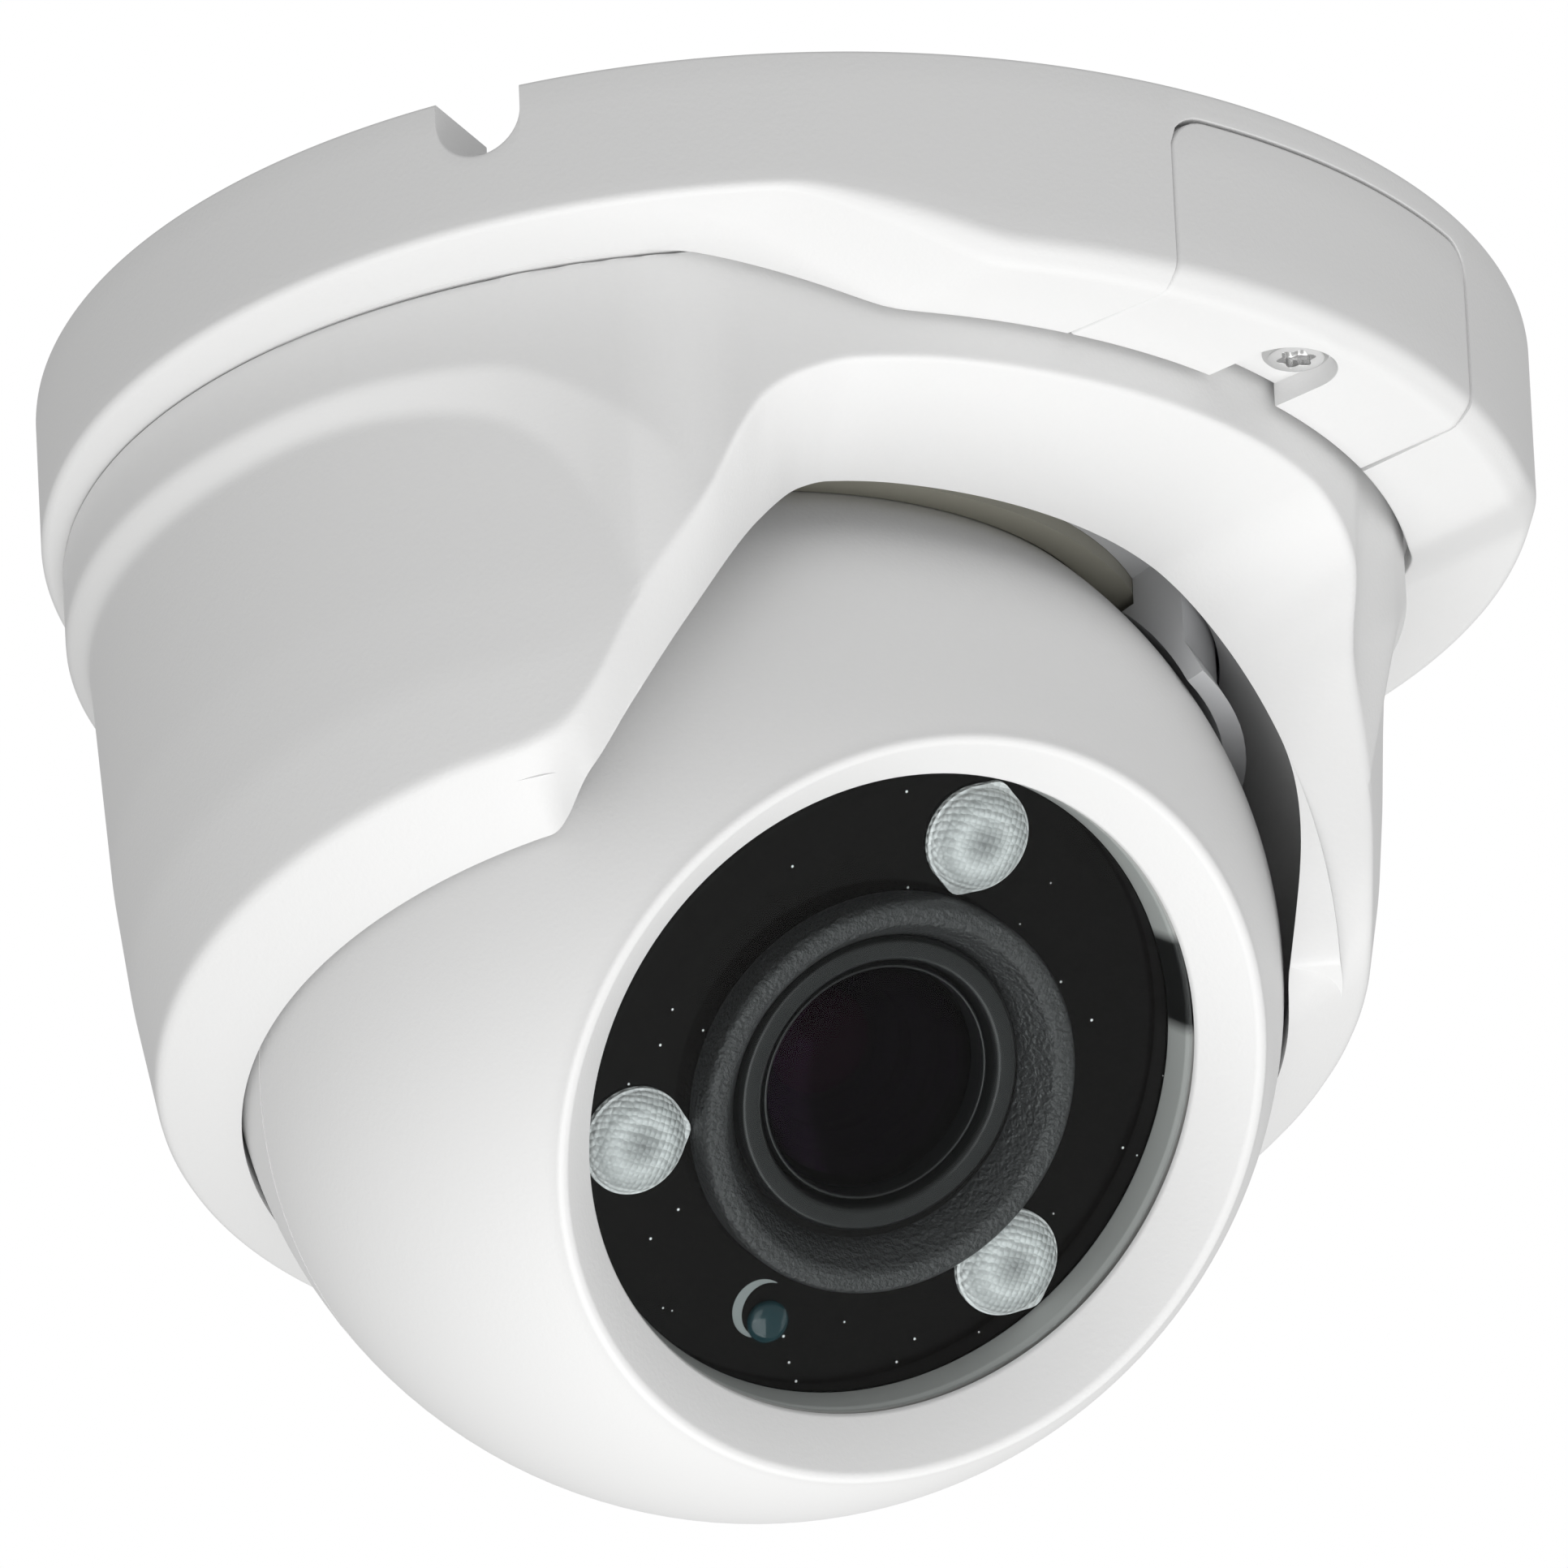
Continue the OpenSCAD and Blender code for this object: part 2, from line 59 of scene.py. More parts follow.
# %% Axes and eye directions
MM = 0.001
pan_centre = np.array(joints["pan"]["pos_m"][:2]) / MM
ball = np.array(joints["roll"]["pos_m"]) / MM
AHEAD = np.array(joints["roll"]["axis"])
RIGHT = np.array([1.0, 0.0, 0.0])
UP = np.cross(AHEAD, RIGHT)
BALL_R = 44.5
pan_shift = float(np.hypot(*pan_centre))
door_turn = float(np.arctan2(-pan_centre[0], pan_centre[1]))
print("pan axis", pan_centre.round(2), "ball", ball.round(2))
print("door turned by", np.degrees(door_turn).round(1), "degrees")


def eye_place(right, up, ahead):
    """Moves from the ball's centre by three lengths along the eye's own right, up and ahead lines."""
    return ball + right[..., None] * RIGHT + up[..., None] * UP + ahead[..., None] * AHEAD


def pan_place(turn, radius, height):
    """Bearing from -Y towards +X and radius, both about the pan axis, made into x, y, z."""
    x = pan_centre[0] + radius * np.sin(turn)
    y = pan_centre[1] - radius * np.cos(turn)
    return np.stack([x, y, height + 0 * x], axis=-1)


def door_place(across, along, height):
    """The access door's own square frame: across it, along its axis, and height, turned onto the ring."""
    c, s = np.cos(door_turn), np.sin(door_turn)
    return np.stack([across * c - along * s, across * s + along * c, height + 0 * across], axis=-1)


# %% [markdown]
# ## Soft edges from one formula
# Painted castings have no knife edges: every corner is a small curve that catches the light. Bevel
# modifiers could round them, but here the corners move and merge round the slot. So a section is first
# drawn as straight lines between stations, and each point is then the average of a short stretch of that
# line. Averaging a corner gives a parabola as long as the stretch, and the straight parts stay where they
# were.

# %% Averaging along a section
def eased(path, reach, soft):
    """The point at distance reach along each column's polyline, averaged over soft mm of it.

    The average is the line's running total half a stretch ahead, less the total half a stretch behind,
    over the stretch. path is (stations, columns, 3); reach and soft are (samples, columns).
    """
    step = np.diff(path, axis=0)
    length = np.linalg.norm(step, axis=2) + 1e-6
    start = np.cumsum(length, axis=0) - length
    last = len(step) - 1

    def total(s):
        area = path[0] * s[..., None]
        for i in range(len(step)):
            x = s - start[i]
            inside = x if i == last else np.minimum(x, length[i])
            inside = inside if i == 0 else np.maximum(inside, 0)
            beyond = 0 * x if i == last else np.maximum(x - length[i], 0)
            area = area + step[i] * (inside**2 / (2 * length[i]) + beyond)[..., None]
        return area

    return (total(reach + soft / 2) - total(reach - soft / 2)) / soft[..., None]


square = np.array([[[0.0, 0.0, 0.0]], [[10.0, 0.0, 0.0]], [[10.0, 10.0, 0.0]]])
corner = eased(square, np.array([[10.0]]), np.array([[4.0]])).ravel()
print("4 mm of softness moves a square corner to", corner)

# %% [markdown]
# ### Where the samples fall
# Spreading samples evenly would waste them on the straight parts and starve the corners. Here each corner
# gets five, and each straight part a few, so that every column has the same number of rows and the columns
# can be joined into a grid.

# %% Sampling a section
def section(path, softness, between=3):
    """Samples a section with five points over each soft corner and a few on each straight part.

    softness is one length for all inner stations or one for each. Points never run backwards.
    """
    path = np.asarray(path, float)
    if path.ndim == 2:
        path = path[:, None, :]
    length = np.linalg.norm(np.diff(path, axis=0), axis=2)
    ends = np.cumsum(length, axis=0)
    softness = np.broadcast_to(softness, len(path) - 2) if np.isscalar(softness) else softness
    reach, soft = [0 * ends[0]], [0 * ends[0] + 1e-3]
    edge = 0 * ends[0]
    for i, width in enumerate(softness):
        room = np.minimum(length[i], length[i + 1]) * 0.96
        wide = np.minimum(width, room) + 1e-3
        for k in range(1, between + 1):
            reach.append(edge + (ends[i] - wide / 2 - edge) * k / (between + 1))
            soft.append(0 * edge + 1e-3)
        for share in (-0.5, -0.25, 0.0, 0.25, 0.5):
            reach.append(ends[i] + wide * share)
            soft.append(wide)
        edge = ends[i] + wide / 2
    for k in range(1, between + 2):
        reach.append(edge + (ends[-1] - edge) * k / (between + 1))
        soft.append(0 * edge + 1e-3)
    reach = np.maximum.accumulate(np.stack(reach), axis=0)
    return eased(path, reach, np.stack(soft))


bent = [(0, 0, 0), (5, 0, 0), (5, 5, 0)]
print("a bent line of three stations gives", len(section(bent, 1.0)), "samples")

# %% [markdown]
# ### Smooth lines through a few heights
# The cover's edges are known at a few bearings only. A plain cubic through them would swing past the
# knots, and an edge that swings makes a dent in the paint. Taking the harmonic mean of the neighbouring
# slopes keeps each piece between its own two knots.

# %% Lines and ramps
def through(x, knots, values):
    """A smooth line through a few knots: cubic pieces whose slopes never overshoot a knot."""
    knots, values = np.asarray(knots, float), np.asarray(values, float)
    slope = np.diff(values) / np.diff(knots)
    same = slope[1:] * slope[:-1] > 0
    mean = 2 * slope[1:] * slope[:-1] / np.where(same, slope[1:] + slope[:-1], 1)
    lean = np.concatenate([[0], np.where(same, mean, 0), [0]])
    x = np.clip(x, knots[0], knots[-1])
    i = np.clip(np.searchsorted(knots, x, side="right") - 1, 0, len(slope) - 1)
    gap = knots[i + 1] - knots[i]
    t = (x - knots[i]) / gap
    low = (1 + 2 * t) * (1 - t) ** 2 * values[i] + t * (1 - t) ** 2 * gap * lean[i]
    return low + t**2 * (3 - 2 * t) * values[i + 1] + t**2 * (t - 1) * gap * lean[i + 1]


def ramp(x, low, high):
    """0 below low, 1 above high and a smooth S between them."""
    t = np.clip((x - low) / (high - low), 0, 1)
    return t * t * (3 - 2 * t)


print("half way along a ramp:", ramp(0.5, 0, 1))
print("between 1 and 3 on a smooth line:", through(np.array([1.5]), [0, 1, 2], [0, 1, 3]))

# %% [markdown]
# ## From a grid of points to a solid
# A closed skin needs no thickness added later: rows of closed loops either run back into the first loop,
# like a ring, or are shut by a flat cap at each end. The volume's sign shows whether the faces look out,
# and the mesh is turned over if they don't.

# %% Mesh builder
def solid(name, grid, body, ring=False, stands_for=(), sharp=38.0):
    """Makes a closed piece from rows of closed loops, an array of (rows, points in a loop, 3) in mm."""
    rows, count = grid.shape[:2]
    a = np.arange(rows if ring else rows - 1)[:, None] * count
    b = (a + count) % (rows * count)
    here, there = np.arange(count), (np.arange(count) + 1) % count
    quads = np.stack([a + here, a + there, b + there, b + here], axis=-1).reshape(-1, 4)
    points = grid.reshape(-1, 3)
    p, q, r, s = (points[quads[:, k]] - points.mean(axis=0) for k in range(4))
    volume = (p * np.cross(q, r)).sum() + (p * np.cross(r, s)).sum()
    faces = quads.tolist()
    if not ring:
        faces += [list(range(count))[::-1], list(range((rows - 1) * count, rows * count))]
    if volume < 0:
        faces = [face[::-1] for face in faces]
    mesh = bpy.data.meshes.new(name)
    mesh.from_pydata((points * MM).tolist(), [], faces)
    mesh.validate()
    mesh.polygons.foreach_set("use_smooth", np.ones(len(mesh.polygons), bool))
    mesh.set_sharp_from_angle(angle=np.radians(sharp))
    piece = bpy.data.objects.new(name, mesh)
    bpy.context.scene.collection.objects.link(piece)
    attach(piece, body)
    if stands_for:
        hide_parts(*stands_for)
    print(name, len(points), "points", round(abs(volume) / 6), "mm3")
    return piece


# %% [markdown]
# ### Turned pieces
# Most of what surrounds the lens is turned on a lathe or moulded in a round tool. A Screw or Spin modifier
# would do, but the same section function gives these profiles their soft corners, so the turning is one
# product of radius and angle.

# %% Turned shapes
def spun(profile, softness, count=128, between=2, middle=(0.0, 0.0)):
    """Turns a profile of (radius, ahead) about the eye's axis, or about a line beside it at middle."""
    rows = section(np.array([(r, 0.0, s) for r, s in profile]), softness, between)[:, 0]
    angle = np.linspace(0, 2 * np.pi, count, endpoint=False)
    radius = rows[:, 0][:, None]
    x, y = middle[0] + radius * np.cos(angle), middle[1] + radius * np.sin(angle)
    return eye_place(x, y, rows[:, 2][:, None] + 0 * angle)


print("a turned disc has a grid of", spun([(0.1, 0.0), (5.0, 0.0), (5.0, 1.0)], 0.2).shape[:2])

# %% [markdown]
# ## Finishes
# The cover, ring and ball are die-cast and powder coated: a satin white with the faint orange peel that
# powder leaves when it melts, its bumps about 0.7 mm apart. The rest is black: glossy polycarbonate under
# the window, anodised aluminium round the lens, and a foam ring between them. Patterns are placed by
# Object coordinates in metres, so a scale is one over the pattern's real size.

# %% Colour and node helpers
def srgb(hexa):
    """A colour as written by a designer, made linear for the renderer."""
    c = np.array([int(hexa[i : i + 2], 16) / 255 for i in (1, 3, 5)])
    return (*np.where(c <= 0.04045, c / 12.92, ((c + 0.055) / 1.055) ** 2.4), 1.0)


def add(tree, kind, inputs=None, **settings):
    """Adds a node, sets its settings, and fills its inputs with values or (node, output) links."""
    node = tree.nodes.new("ShaderNode" + kind)
    for key, value in settings.items():
        setattr(node, key, value)
    for key, value in (inputs or {}).items():
        if isinstance(value, tuple) and isinstance(value[0], bpy.types.Node):
            tree.links.new(value[0].outputs[value[1]], node.inputs[key])
        else:
            node.inputs[key].default_value = value
    return node


def finish(name, colour, rough, metal=0.0, ior=1.5, grain=0.0, grain_mm=0.7, deep=0.1, mottle=0.0, coat=0.0):
    """One moulded, painted or turned finish: a principled surface with grain bumps and slight mottling."""
    material = bpy.data.materials.new(name)
    material.use_nodes = True
    tree = material.node_tree
    shader = tree.nodes["Principled BSDF"]
    shader.inputs["Base Color"].default_value = srgb(colour)
    shader.inputs["Roughness"].default_value = rough
    shader.inputs["Metallic"].default_value = metal
    shader.inputs["Coat Weight"].default_value = coat
    if not metal:
        shader.inputs["IOR"].default_value = ior
    place = add(tree, "TexCoord")
    spot = (place, "Object")
    if grain:
        noise = add(tree, "TexNoise", {"Vector": spot, "Scale": 1 / (grain_mm * MM), "Detail": 3.0})
        relief = {"Height": (noise, "Fac"), "Strength": grain, "Distance": deep * grain_mm * MM}
        bump = add(tree, "Bump", relief)
        tree.links.new(bump.outputs["Normal"], shader.inputs["Normal"])
    cloud = add(tree, "TexNoise", {"Vector": spot, "Scale": 60.0, "Detail": 2.0})
    band = {"Value": (cloud, "Fac"), "To Min": rough - mottle, "To Max": rough + mottle}
    spread = add(tree, "MapRange", band)
    tree.links.new(spread.outputs["Result"], shader.inputs["Roughness"])
    return material


def coated(piece, material):
    """Gives a piece its one finish."""
    piece.data.materials.clear()
    piece.data.materials.append(material)
    return piece


print("paper white as linear light:", [round(float(v), 3) for v in srgb("#F4F4F2")[:3]])

# %% [markdown]
# ### One line for each finish
# Every finish starts from the real material's refractive index and roughness and is then matched.
# The grain sizes are in millimetres, and grain finer than about 0.2 mm would not show, so none is drawn
# finer than that. Turned metal has almost none at all.

# %% Finishes by name
# Melted powder paint: satin, with a shallow orange peel that breaks up the highlights.
powder_coat = finish("satin powder coat", "#E7E7E7", 0.45, grain=0.45, grain_mm=0.4, deep=0.12, mottle=0.03)
# Polished moulding: deep black with a clear reflection.
black_gloss = finish("polished black polycarbonate", "#050505", 0.12, ior=1.35, mottle=0.02)
# Dyed oxide on turned metal: a soft grey sheen on black.
black_anodised = finish("black anodised aluminium", "#101112", 0.36, grain=0.1, grain_mm=0.3, mottle=0.04)
# Cut foam: open pores that catch the light.
black_foam = finish("closed cell foam", "#333334", 0.36, grain=1.0, grain_mm=0.45, deep=0.7, mottle=0.05)
# Unpainted mouldings: matt, with the fine texture of the tool.
grey_nylon = finish("glass filled nylon", "#D0D1D3", 0.5, ior=1.53, grain=0.3, grain_mm=0.5, mottle=0.05)
acetal = finish("natural acetal", "#A19F93", 0.4, ior=1.48, grain=0.1, grain_mm=0.6, mottle=0.03)
white_moulding = finish("white moulded plastic", "#D8D9D8", 0.45, grain=0.15, grain_mm=0.5, mottle=0.03)
red_plastic = finish("red moulded plastic", "#8E1F1A", 0.4, grain=0.1, grain_mm=0.4, mottle=0.04)
black_rubber = finish("matt moulded rubber", "#101011", 0.7, grain=0.3, grain_mm=0.4, mottle=0.05)
# Bare metals: bright, with faint turning or drawing marks.
steel = finish("zinc plated steel", "#E6E6E6", 0.2, metal=1.0, grain=0.1, grain_mm=0.2, mottle=0.06)
aluminium = finish("extruded aluminium", "#BFC1C4", 0.35, metal=1.0, grain=0.15, grain_mm=0.3, mottle=0.05)
brass = finish("turned brass", "#C2A05A", 0.3, metal=1.0, grain=0.1, grain_mm=0.2, mottle=0.05)
# Electronics: lacquered boards, an amber ribbon, pale chip packages and dark coated silicon.
solder_mask = finish("green solder mask", "#12452A", 0.4, grain=0.2, grain_mm=0.8, mottle=0.08)
ribbon = finish("polyimide ribbon", "#B0651F", 0.4, ior=1.6, grain=0.1, grain_mm=0.6, mottle=0.05)
led_package = finish("chip package", "#D9C27A", 0.35, grain=0.1, grain_mm=0.2, mottle=0.04)
silicon = finish("coated silicon", "#1F6E78", 0.15, ior=1.6, grain=0.1, grain_mm=0.3, mottle=0.04)
print(len(bpy.data.materials), "finishes")


# %% [markdown]
# ### Window glass
# Flat glass hardly tints what lies behind it; what shows is a thin reflection that grows at a slant. A
# full refraction shader would cast a black shadow on the parts below, so the pane lets light straight
# through and adds a mirror weighted by Fresnel's law.

# %% Clear finishes
def clear(name, tint, ior, rough=0.02, mirror="#FFFFFF", share=1.0):
    """Glass that lets light straight through; on top a mirror weighted by Fresnel's law and the coating."""
    material = bpy.data.materials.new(name)
    material.use_nodes = True
    tree = material.node_tree
    tree.nodes.remove(tree.nodes["Principled BSDF"])
    out = tree.nodes["Material Output"]
    through_light = add(tree, "BsdfTransparent", {"Color": srgb(tint)})
    gloss = add(tree, "BsdfGlossy", {"Color": srgb(mirror), "Roughness": rough})
    weight = add(tree, "Fresnel", {"IOR": ior})
    coated_share = add(tree, "Math", {0: (weight, "Fac"), 1: share}, operation="MULTIPLY")
    mix = add(tree, "MixShader", {"Fac": (coated_share, "Value")})
    tree.links.new(through_light.outputs[0], mix.inputs[1])
    tree.links.new(gloss.outputs[0], mix.inputs[2])
    tree.links.new(mix.outputs[0], out.inputs["Surface"])
    return material


window_pane = clear("flat window glass", "#FAFCFC", 1.5, share=0.14)
coated_lens = clear("violet coated lens glass", "#9A949C", 1.5, mirror="#9A5FA8", share=0.14)
print("clear finishes:", window_pane.name, "and", coated_lens.name)

# %% [markdown]
# ## The base ring
# On the real camera this is one casting: a plain ring against the ceiling, and on one side a deeper
# sector that carries the access door. The deep sector is prismatic: seen along the door's axis its
# underside is flat, then ramps up to the ring. So each column of the surface is a section of constant
# distance across the door, and its lower edge is a function of that distance alone.

# %% Ring dimensions
RING_R, RING_H, BLOCK_H = 63.0, 12.6, 18.7
NOTCH_HALF, NOTCH_DEEP, NOTCH_TURN = 3.85, 5.7, np.radians(-58.3) - door_turn
NOTCH_BOSS = 7.5
DOOR_HALF, DOOR_TOP, DOOR_CORNER, DOOR_GAP = 18.4, -2.85, 3.0, 0.3
RECESS_R = 57.1
POST = 56.8


def ring_underside(across):
    """Height of the underside at a distance across the door: two levels and a ramp with soft ends."""
    x = (46.0 - np.abs(across)) / 13.0
    knee = 0.055
    rise = knee * (np.logaddexp(0, x / knee) - np.logaddexp(0, (x - 1) / knee))
    return -RING_H - (BLOCK_H - RING_H) * rise


def door_top_line(across, gap):
    """Top edge of the door or of its rebate: level, with a quarter circle down at each corner."""
    over = np.clip(np.abs(across) - (DOOR_HALF + gap - DOOR_CORNER), 0, DOOR_CORNER)
    return DOOR_TOP + gap - (DOOR_CORNER - np.sqrt(DOOR_CORNER**2 - over**2))


print("ring", 2 * RING_R, "mm across,", BLOCK_H, "mm deep at the door")

# %% [markdown]
# ### Columns where the steps are
# A step in the surface, such as the door's rebate or the screwdriver notch, must fall between two columns
# that stand almost on each other, or it turns into a slope. So the bearings are even round the ring, closer
# at the door and notch, and doubled at each step.

# %% Ring columns
def ring_columns():
    """Bearings round the ring from the door's axis, closer at the door and notch, doubled at their steps."""
    half = np.arcsin((DOOR_HALF + DOOR_GAP) / RING_R)
    side = NOTCH_HALF / RING_R
    tiny = 2e-4
    plain = np.radians(np.arange(-180, 180, 1.0))
    door = np.linspace(-half, half, 75)
    notch = NOTCH_TURN + side * np.sin(np.linspace(-np.pi / 2, np.pi / 2, 25))
    keep = (np.abs(plain) > half + 0.01) & (np.abs(plain - NOTCH_TURN) > side + 0.01)
    boss = NOTCH_BOSS / RING_R
    edges = [-half - tiny, half + tiny, NOTCH_TURN - side - tiny, NOTCH_TURN + side + tiny]
    edges += [NOTCH_TURN + k * boss + j * tiny for k in (-1, 1) for j in (-0.5, 0.5)]
    return np.sort(np.concatenate([plain[keep], door, notch, edges]))


turn = ring_columns()
across = RING_R * np.sin(turn)
in_door = (np.abs(across) < DOOR_HALF + DOOR_GAP + 1e-3) & (np.cos(turn) > 0)
under_z = np.where(np.cos(turn) > 0, ring_underside(across), -RING_H)
print(len(turn), "columns, underside from", under_z.min().round(1), "to", under_z.max().round(1))

# %% [markdown]
# ### Straight near the door, radial behind
# In the deep sector a column keeps its distance across the door on every circle, so that the ramp stays
# prismatic. Behind the sector the columns run to the centre. Between the two bearings below, one way of
# placing them fades into the other.

# %% Where a column meets a circle
STRAIGHT, FREE = np.radians(47.0), np.radians(80.0)


def column_turn(radius, radial):
    """Where a column meets a circle: at its own distance across near the door, radial away from it."""
    straight = np.arcsin(np.clip(across / radius, -1, 1))
    last = np.interp(STRAIGHT, turn, straight)
    first = np.interp(FREE, turn, radial)
    between = last + (first - last) * (np.abs(turn) - STRAIGHT) / (FREE - STRAIGHT)
    at = np.where(np.abs(turn) < FREE, between * np.sign(turn), radial)
    return np.where(np.abs(turn) < STRAIGHT, straight, at)


def on_ring(radius, height):
    """Points on a circle about the ring's centre."""
    at = column_turn(np.max(radius), turn)
    return door_place(radius * np.sin(at), -radius * np.cos(at), height)


def on_ring_wall(radius, height):
    """The ring's inner wall, whose radius may step where the cable notch has its thick cheeks."""
    return door_place(radius * np.sin(turn), -radius * np.cos(turn), height)


def on_pan(radius, height):
    """Points on a circle about the pan axis, met by the same columns."""
    reach = -pan_shift * np.cos(turn) + np.sqrt(radius**2 - (pan_shift * np.sin(turn)) ** 2)
    x, y = reach * np.sin(turn), -reach * np.cos(turn) - pan_shift
    at = column_turn(np.max(radius), np.arctan2(x, -y))
    return door_place(radius * np.sin(at), pan_shift - radius * np.cos(at), height)


print("a column 45 degrees round keeps", round(float(RING_R * np.sin(np.radians(45))), 1), "mm across")

# %% [markdown]
# ### The ring as one loop
# A boolean could cut the notch, rebate and bore out of a block, but its edges would be knives. Here each
# column is a closed loop of stations, and a feature is a change of where two stations lie, so every edge
# takes its softness from the section.

# %% Base ring surface
def base_shell():
    """The ring as a closed loop of stations: top, wall, door rebate, underside, neck recess, bore, floor."""
    flat = 0 * turn
    off = np.clip(RING_R * np.abs(turn - NOTCH_TURN), 0, NOTCH_HALF)
    dip = NOTCH_DEEP - NOTCH_HALF + np.sqrt(NOTCH_HALF**2 - off**2)
    top = np.where(np.abs(turn - NOTCH_TURN) < NOTCH_HALF / RING_R + 1e-4, -dip, 0.0)
    inset = np.where(in_door, 1.9, 0.0)
    lift = np.where(in_door, 3.7, 0.0)
    chamfer = 0.5 + 1.2 * (-RING_H - under_z) / (BLOCK_H - RING_H)
    edge = np.where(in_door, door_top_line(across, DOOR_GAP), -8.5)
    rear = ramp(-np.cos(turn), -0.2, 0.5)
    low = under_z + lift
    inner = np.where(np.abs(turn - NOTCH_TURN) < NOTCH_BOSS / RING_R, 53.6, 60.6)
    path = [
        on_ring_wall(inner + 0.3, top),
        on_ring(RING_R + flat, top),
        on_ring(RING_R + flat, edge),
        on_ring(RING_R - inset, edge - 1e-3),
        on_ring(RING_R - inset, np.where(in_door, low, under_z + chamfer)),
        on_ring(RING_R - 1.05 * chamfer - inset, low),
        on_pan(RECESS_R - 2.1 * rear, low),
        on_pan(RECESS_R - 2.1 * rear, -RING_H - 0.02 * (1 + flat)),
        on_pan(42.0 + flat, -RING_H + flat),
        on_pan(42.0 + flat, -9.6 + flat),
        on_ring_wall(inner, -9.6 + flat),
        on_ring_wall(inner, np.minimum(top, -0.01)),
    ]
    softness = [0.7, 0.25, 0.2, 1.6, 1.6, 0.7, 0.1, 0.4, 0.4, 0.4]
    return section(np.stack(path), softness, between=2)


base = solid("base_shell", base_shell(), "base", ring=True, stands_for=["base_housing"])
coated(base, powder_coat)

# %% [markdown]
# ## The access door
# The door wraps over the edge of the deep sector, down the wall and along the underside to the neck. It is
# held by one screw in a U-shaped pocket. The columns run straight across the door, so the pocket and the
# rounded corners are only changes of where each column's steps fall.

# %% Door surface
def door_shell():
    """Columns across the door; each is a loop: down the wall, along the underside, and back inside."""
    half = DOOR_HALF
    tiny = 1e-3
    pocket = 4.2
    t = np.concatenate([np.linspace(-half, half, 61), [-pocket - tiny, pocket + tiny],
                        pocket * np.sin(np.linspace(-np.pi / 2, np.pi / 2, 21)),
                        half - np.array([0.06, 0.15, 0.3]), np.array([0.06, 0.15, 0.3]) - half])
    t = np.unique(np.round(t, 5))
    hole = np.abs(t) <= pocket
    pull = 0.3 * np.clip(1 - (half - np.abs(t)) / 0.3, 0, 1) ** 2
    top = door_top_line(t, 0.0)
    low = ring_underside(t)
    outer, inner = RING_R - pull, RING_R - 1.7

    def wall(radius, height):
        return door_place(t, -np.sqrt(radius**2 - t**2), height)

    mouth = -(POST - 1.0) - np.sqrt(np.maximum(pocket**2 - t**2, 0))
    neck = pan_shift - np.sqrt((RECESS_R + 0.12) ** 2 - t**2)
    deck = np.where(hole, low + 2.15, low + pull)
    ceiling = low + np.where(np.abs(t) < pocket + 1.0, 3.4, 1.7)
    path = np.stack([
        wall(inner, top - 0.01),
        wall(outer, top),
        wall(outer, low + 1.7),
        wall(outer - 1.8, low + pull),
        door_place(t, mouth - 0.01, low + pull),
        door_place(t, mouth, deck),
        door_place(t, neck, deck),
        door_place(t, neck, ceiling + 0.01),
        wall(inner, ceiling),
    ])
    rows = section(path, [0.5, 1.6, 1.6, 0.25, 0.25, 0.3, 0.1], between=3)
    return rows.transpose(1, 0, 2)


door = solid("access_door", door_shell(), "base", stands_for=["access_cover"])
coated(door, powder_coat)


# %% [markdown]
# ### The door's screw
# The screw is an M3 pan head with a six-lobed drive. The recess is the same loop as the head, with its
# radius waved six times.

# %% Door screw
def door_screw():
    """Rows of circles from the shank's end to the recess floor; the recess rows wave six times."""
    seat, face = -BLOCK_H + 2.2, -BLOCK_H + 0.75
    profile = [(1.2, seat + 8), (1.2, seat), (2.9, seat), (2.9, face + 0.4), (2.5, face),
               (1.45, face - 0.02), (1.4, face + 0.95), (0.03, face + 1.0)]
    rows = section(np.array([(r, 0.0, z) for r, z in profile]), [0.1, 0.1, 0.4, 0.3, 0.08, 0.1], 2)[:, 0]
    angle = np.linspace(0, 2 * np.pi, 72, endpoint=False)
    lobed = (rows[:, 0] < 1.5) & (rows[:, 2] < face + 1.2)
    wave = np.where(lobed, 0.22 * np.minimum(rows[:, 0], 1.4) / 1.4, 0.0)[:, None] * np.cos(6 * angle)
    radius = rows[:, 0][:, None] + wave
    return door_place(radius * np.cos(angle), -POST + radius * np.sin(angle), rows[:, 2][:, None] + 0 * angle)


coated(solid("door_screw", door_screw(), "base", stands_for=["access_cover_screw"]), steel)

# %% [markdown]
# ## The cover
# The cover is the shape that people remember: a round neck, a ledge, a nearly straight wall that ends in
# a broad rounded rim, and a slot whose frame climbs up the front. All its edges are closed lines round
# the pan axis, so the whole casting is one set of rings. Each edge is a height for every bearing, and
# near the slot the ledge's two edges run into the frame's edge and merge with it.

# %% Cover edge lines
CAVITY_R = 49.4
LIP_R = BALL_R + 0.45


def cover_columns():
    """Bearings about the pan axis in degrees, closer where the slot's frame is."""
    front = np.linspace(-72, 72, 380)
    back = np.linspace(72, 288, 222)[1:-1]
    return np.concatenate([front, np.where(back > 180, back - 360, back)])


bearing = cover_columns()
side = np.abs(bearing)
turned = np.cos(np.radians(bearing))

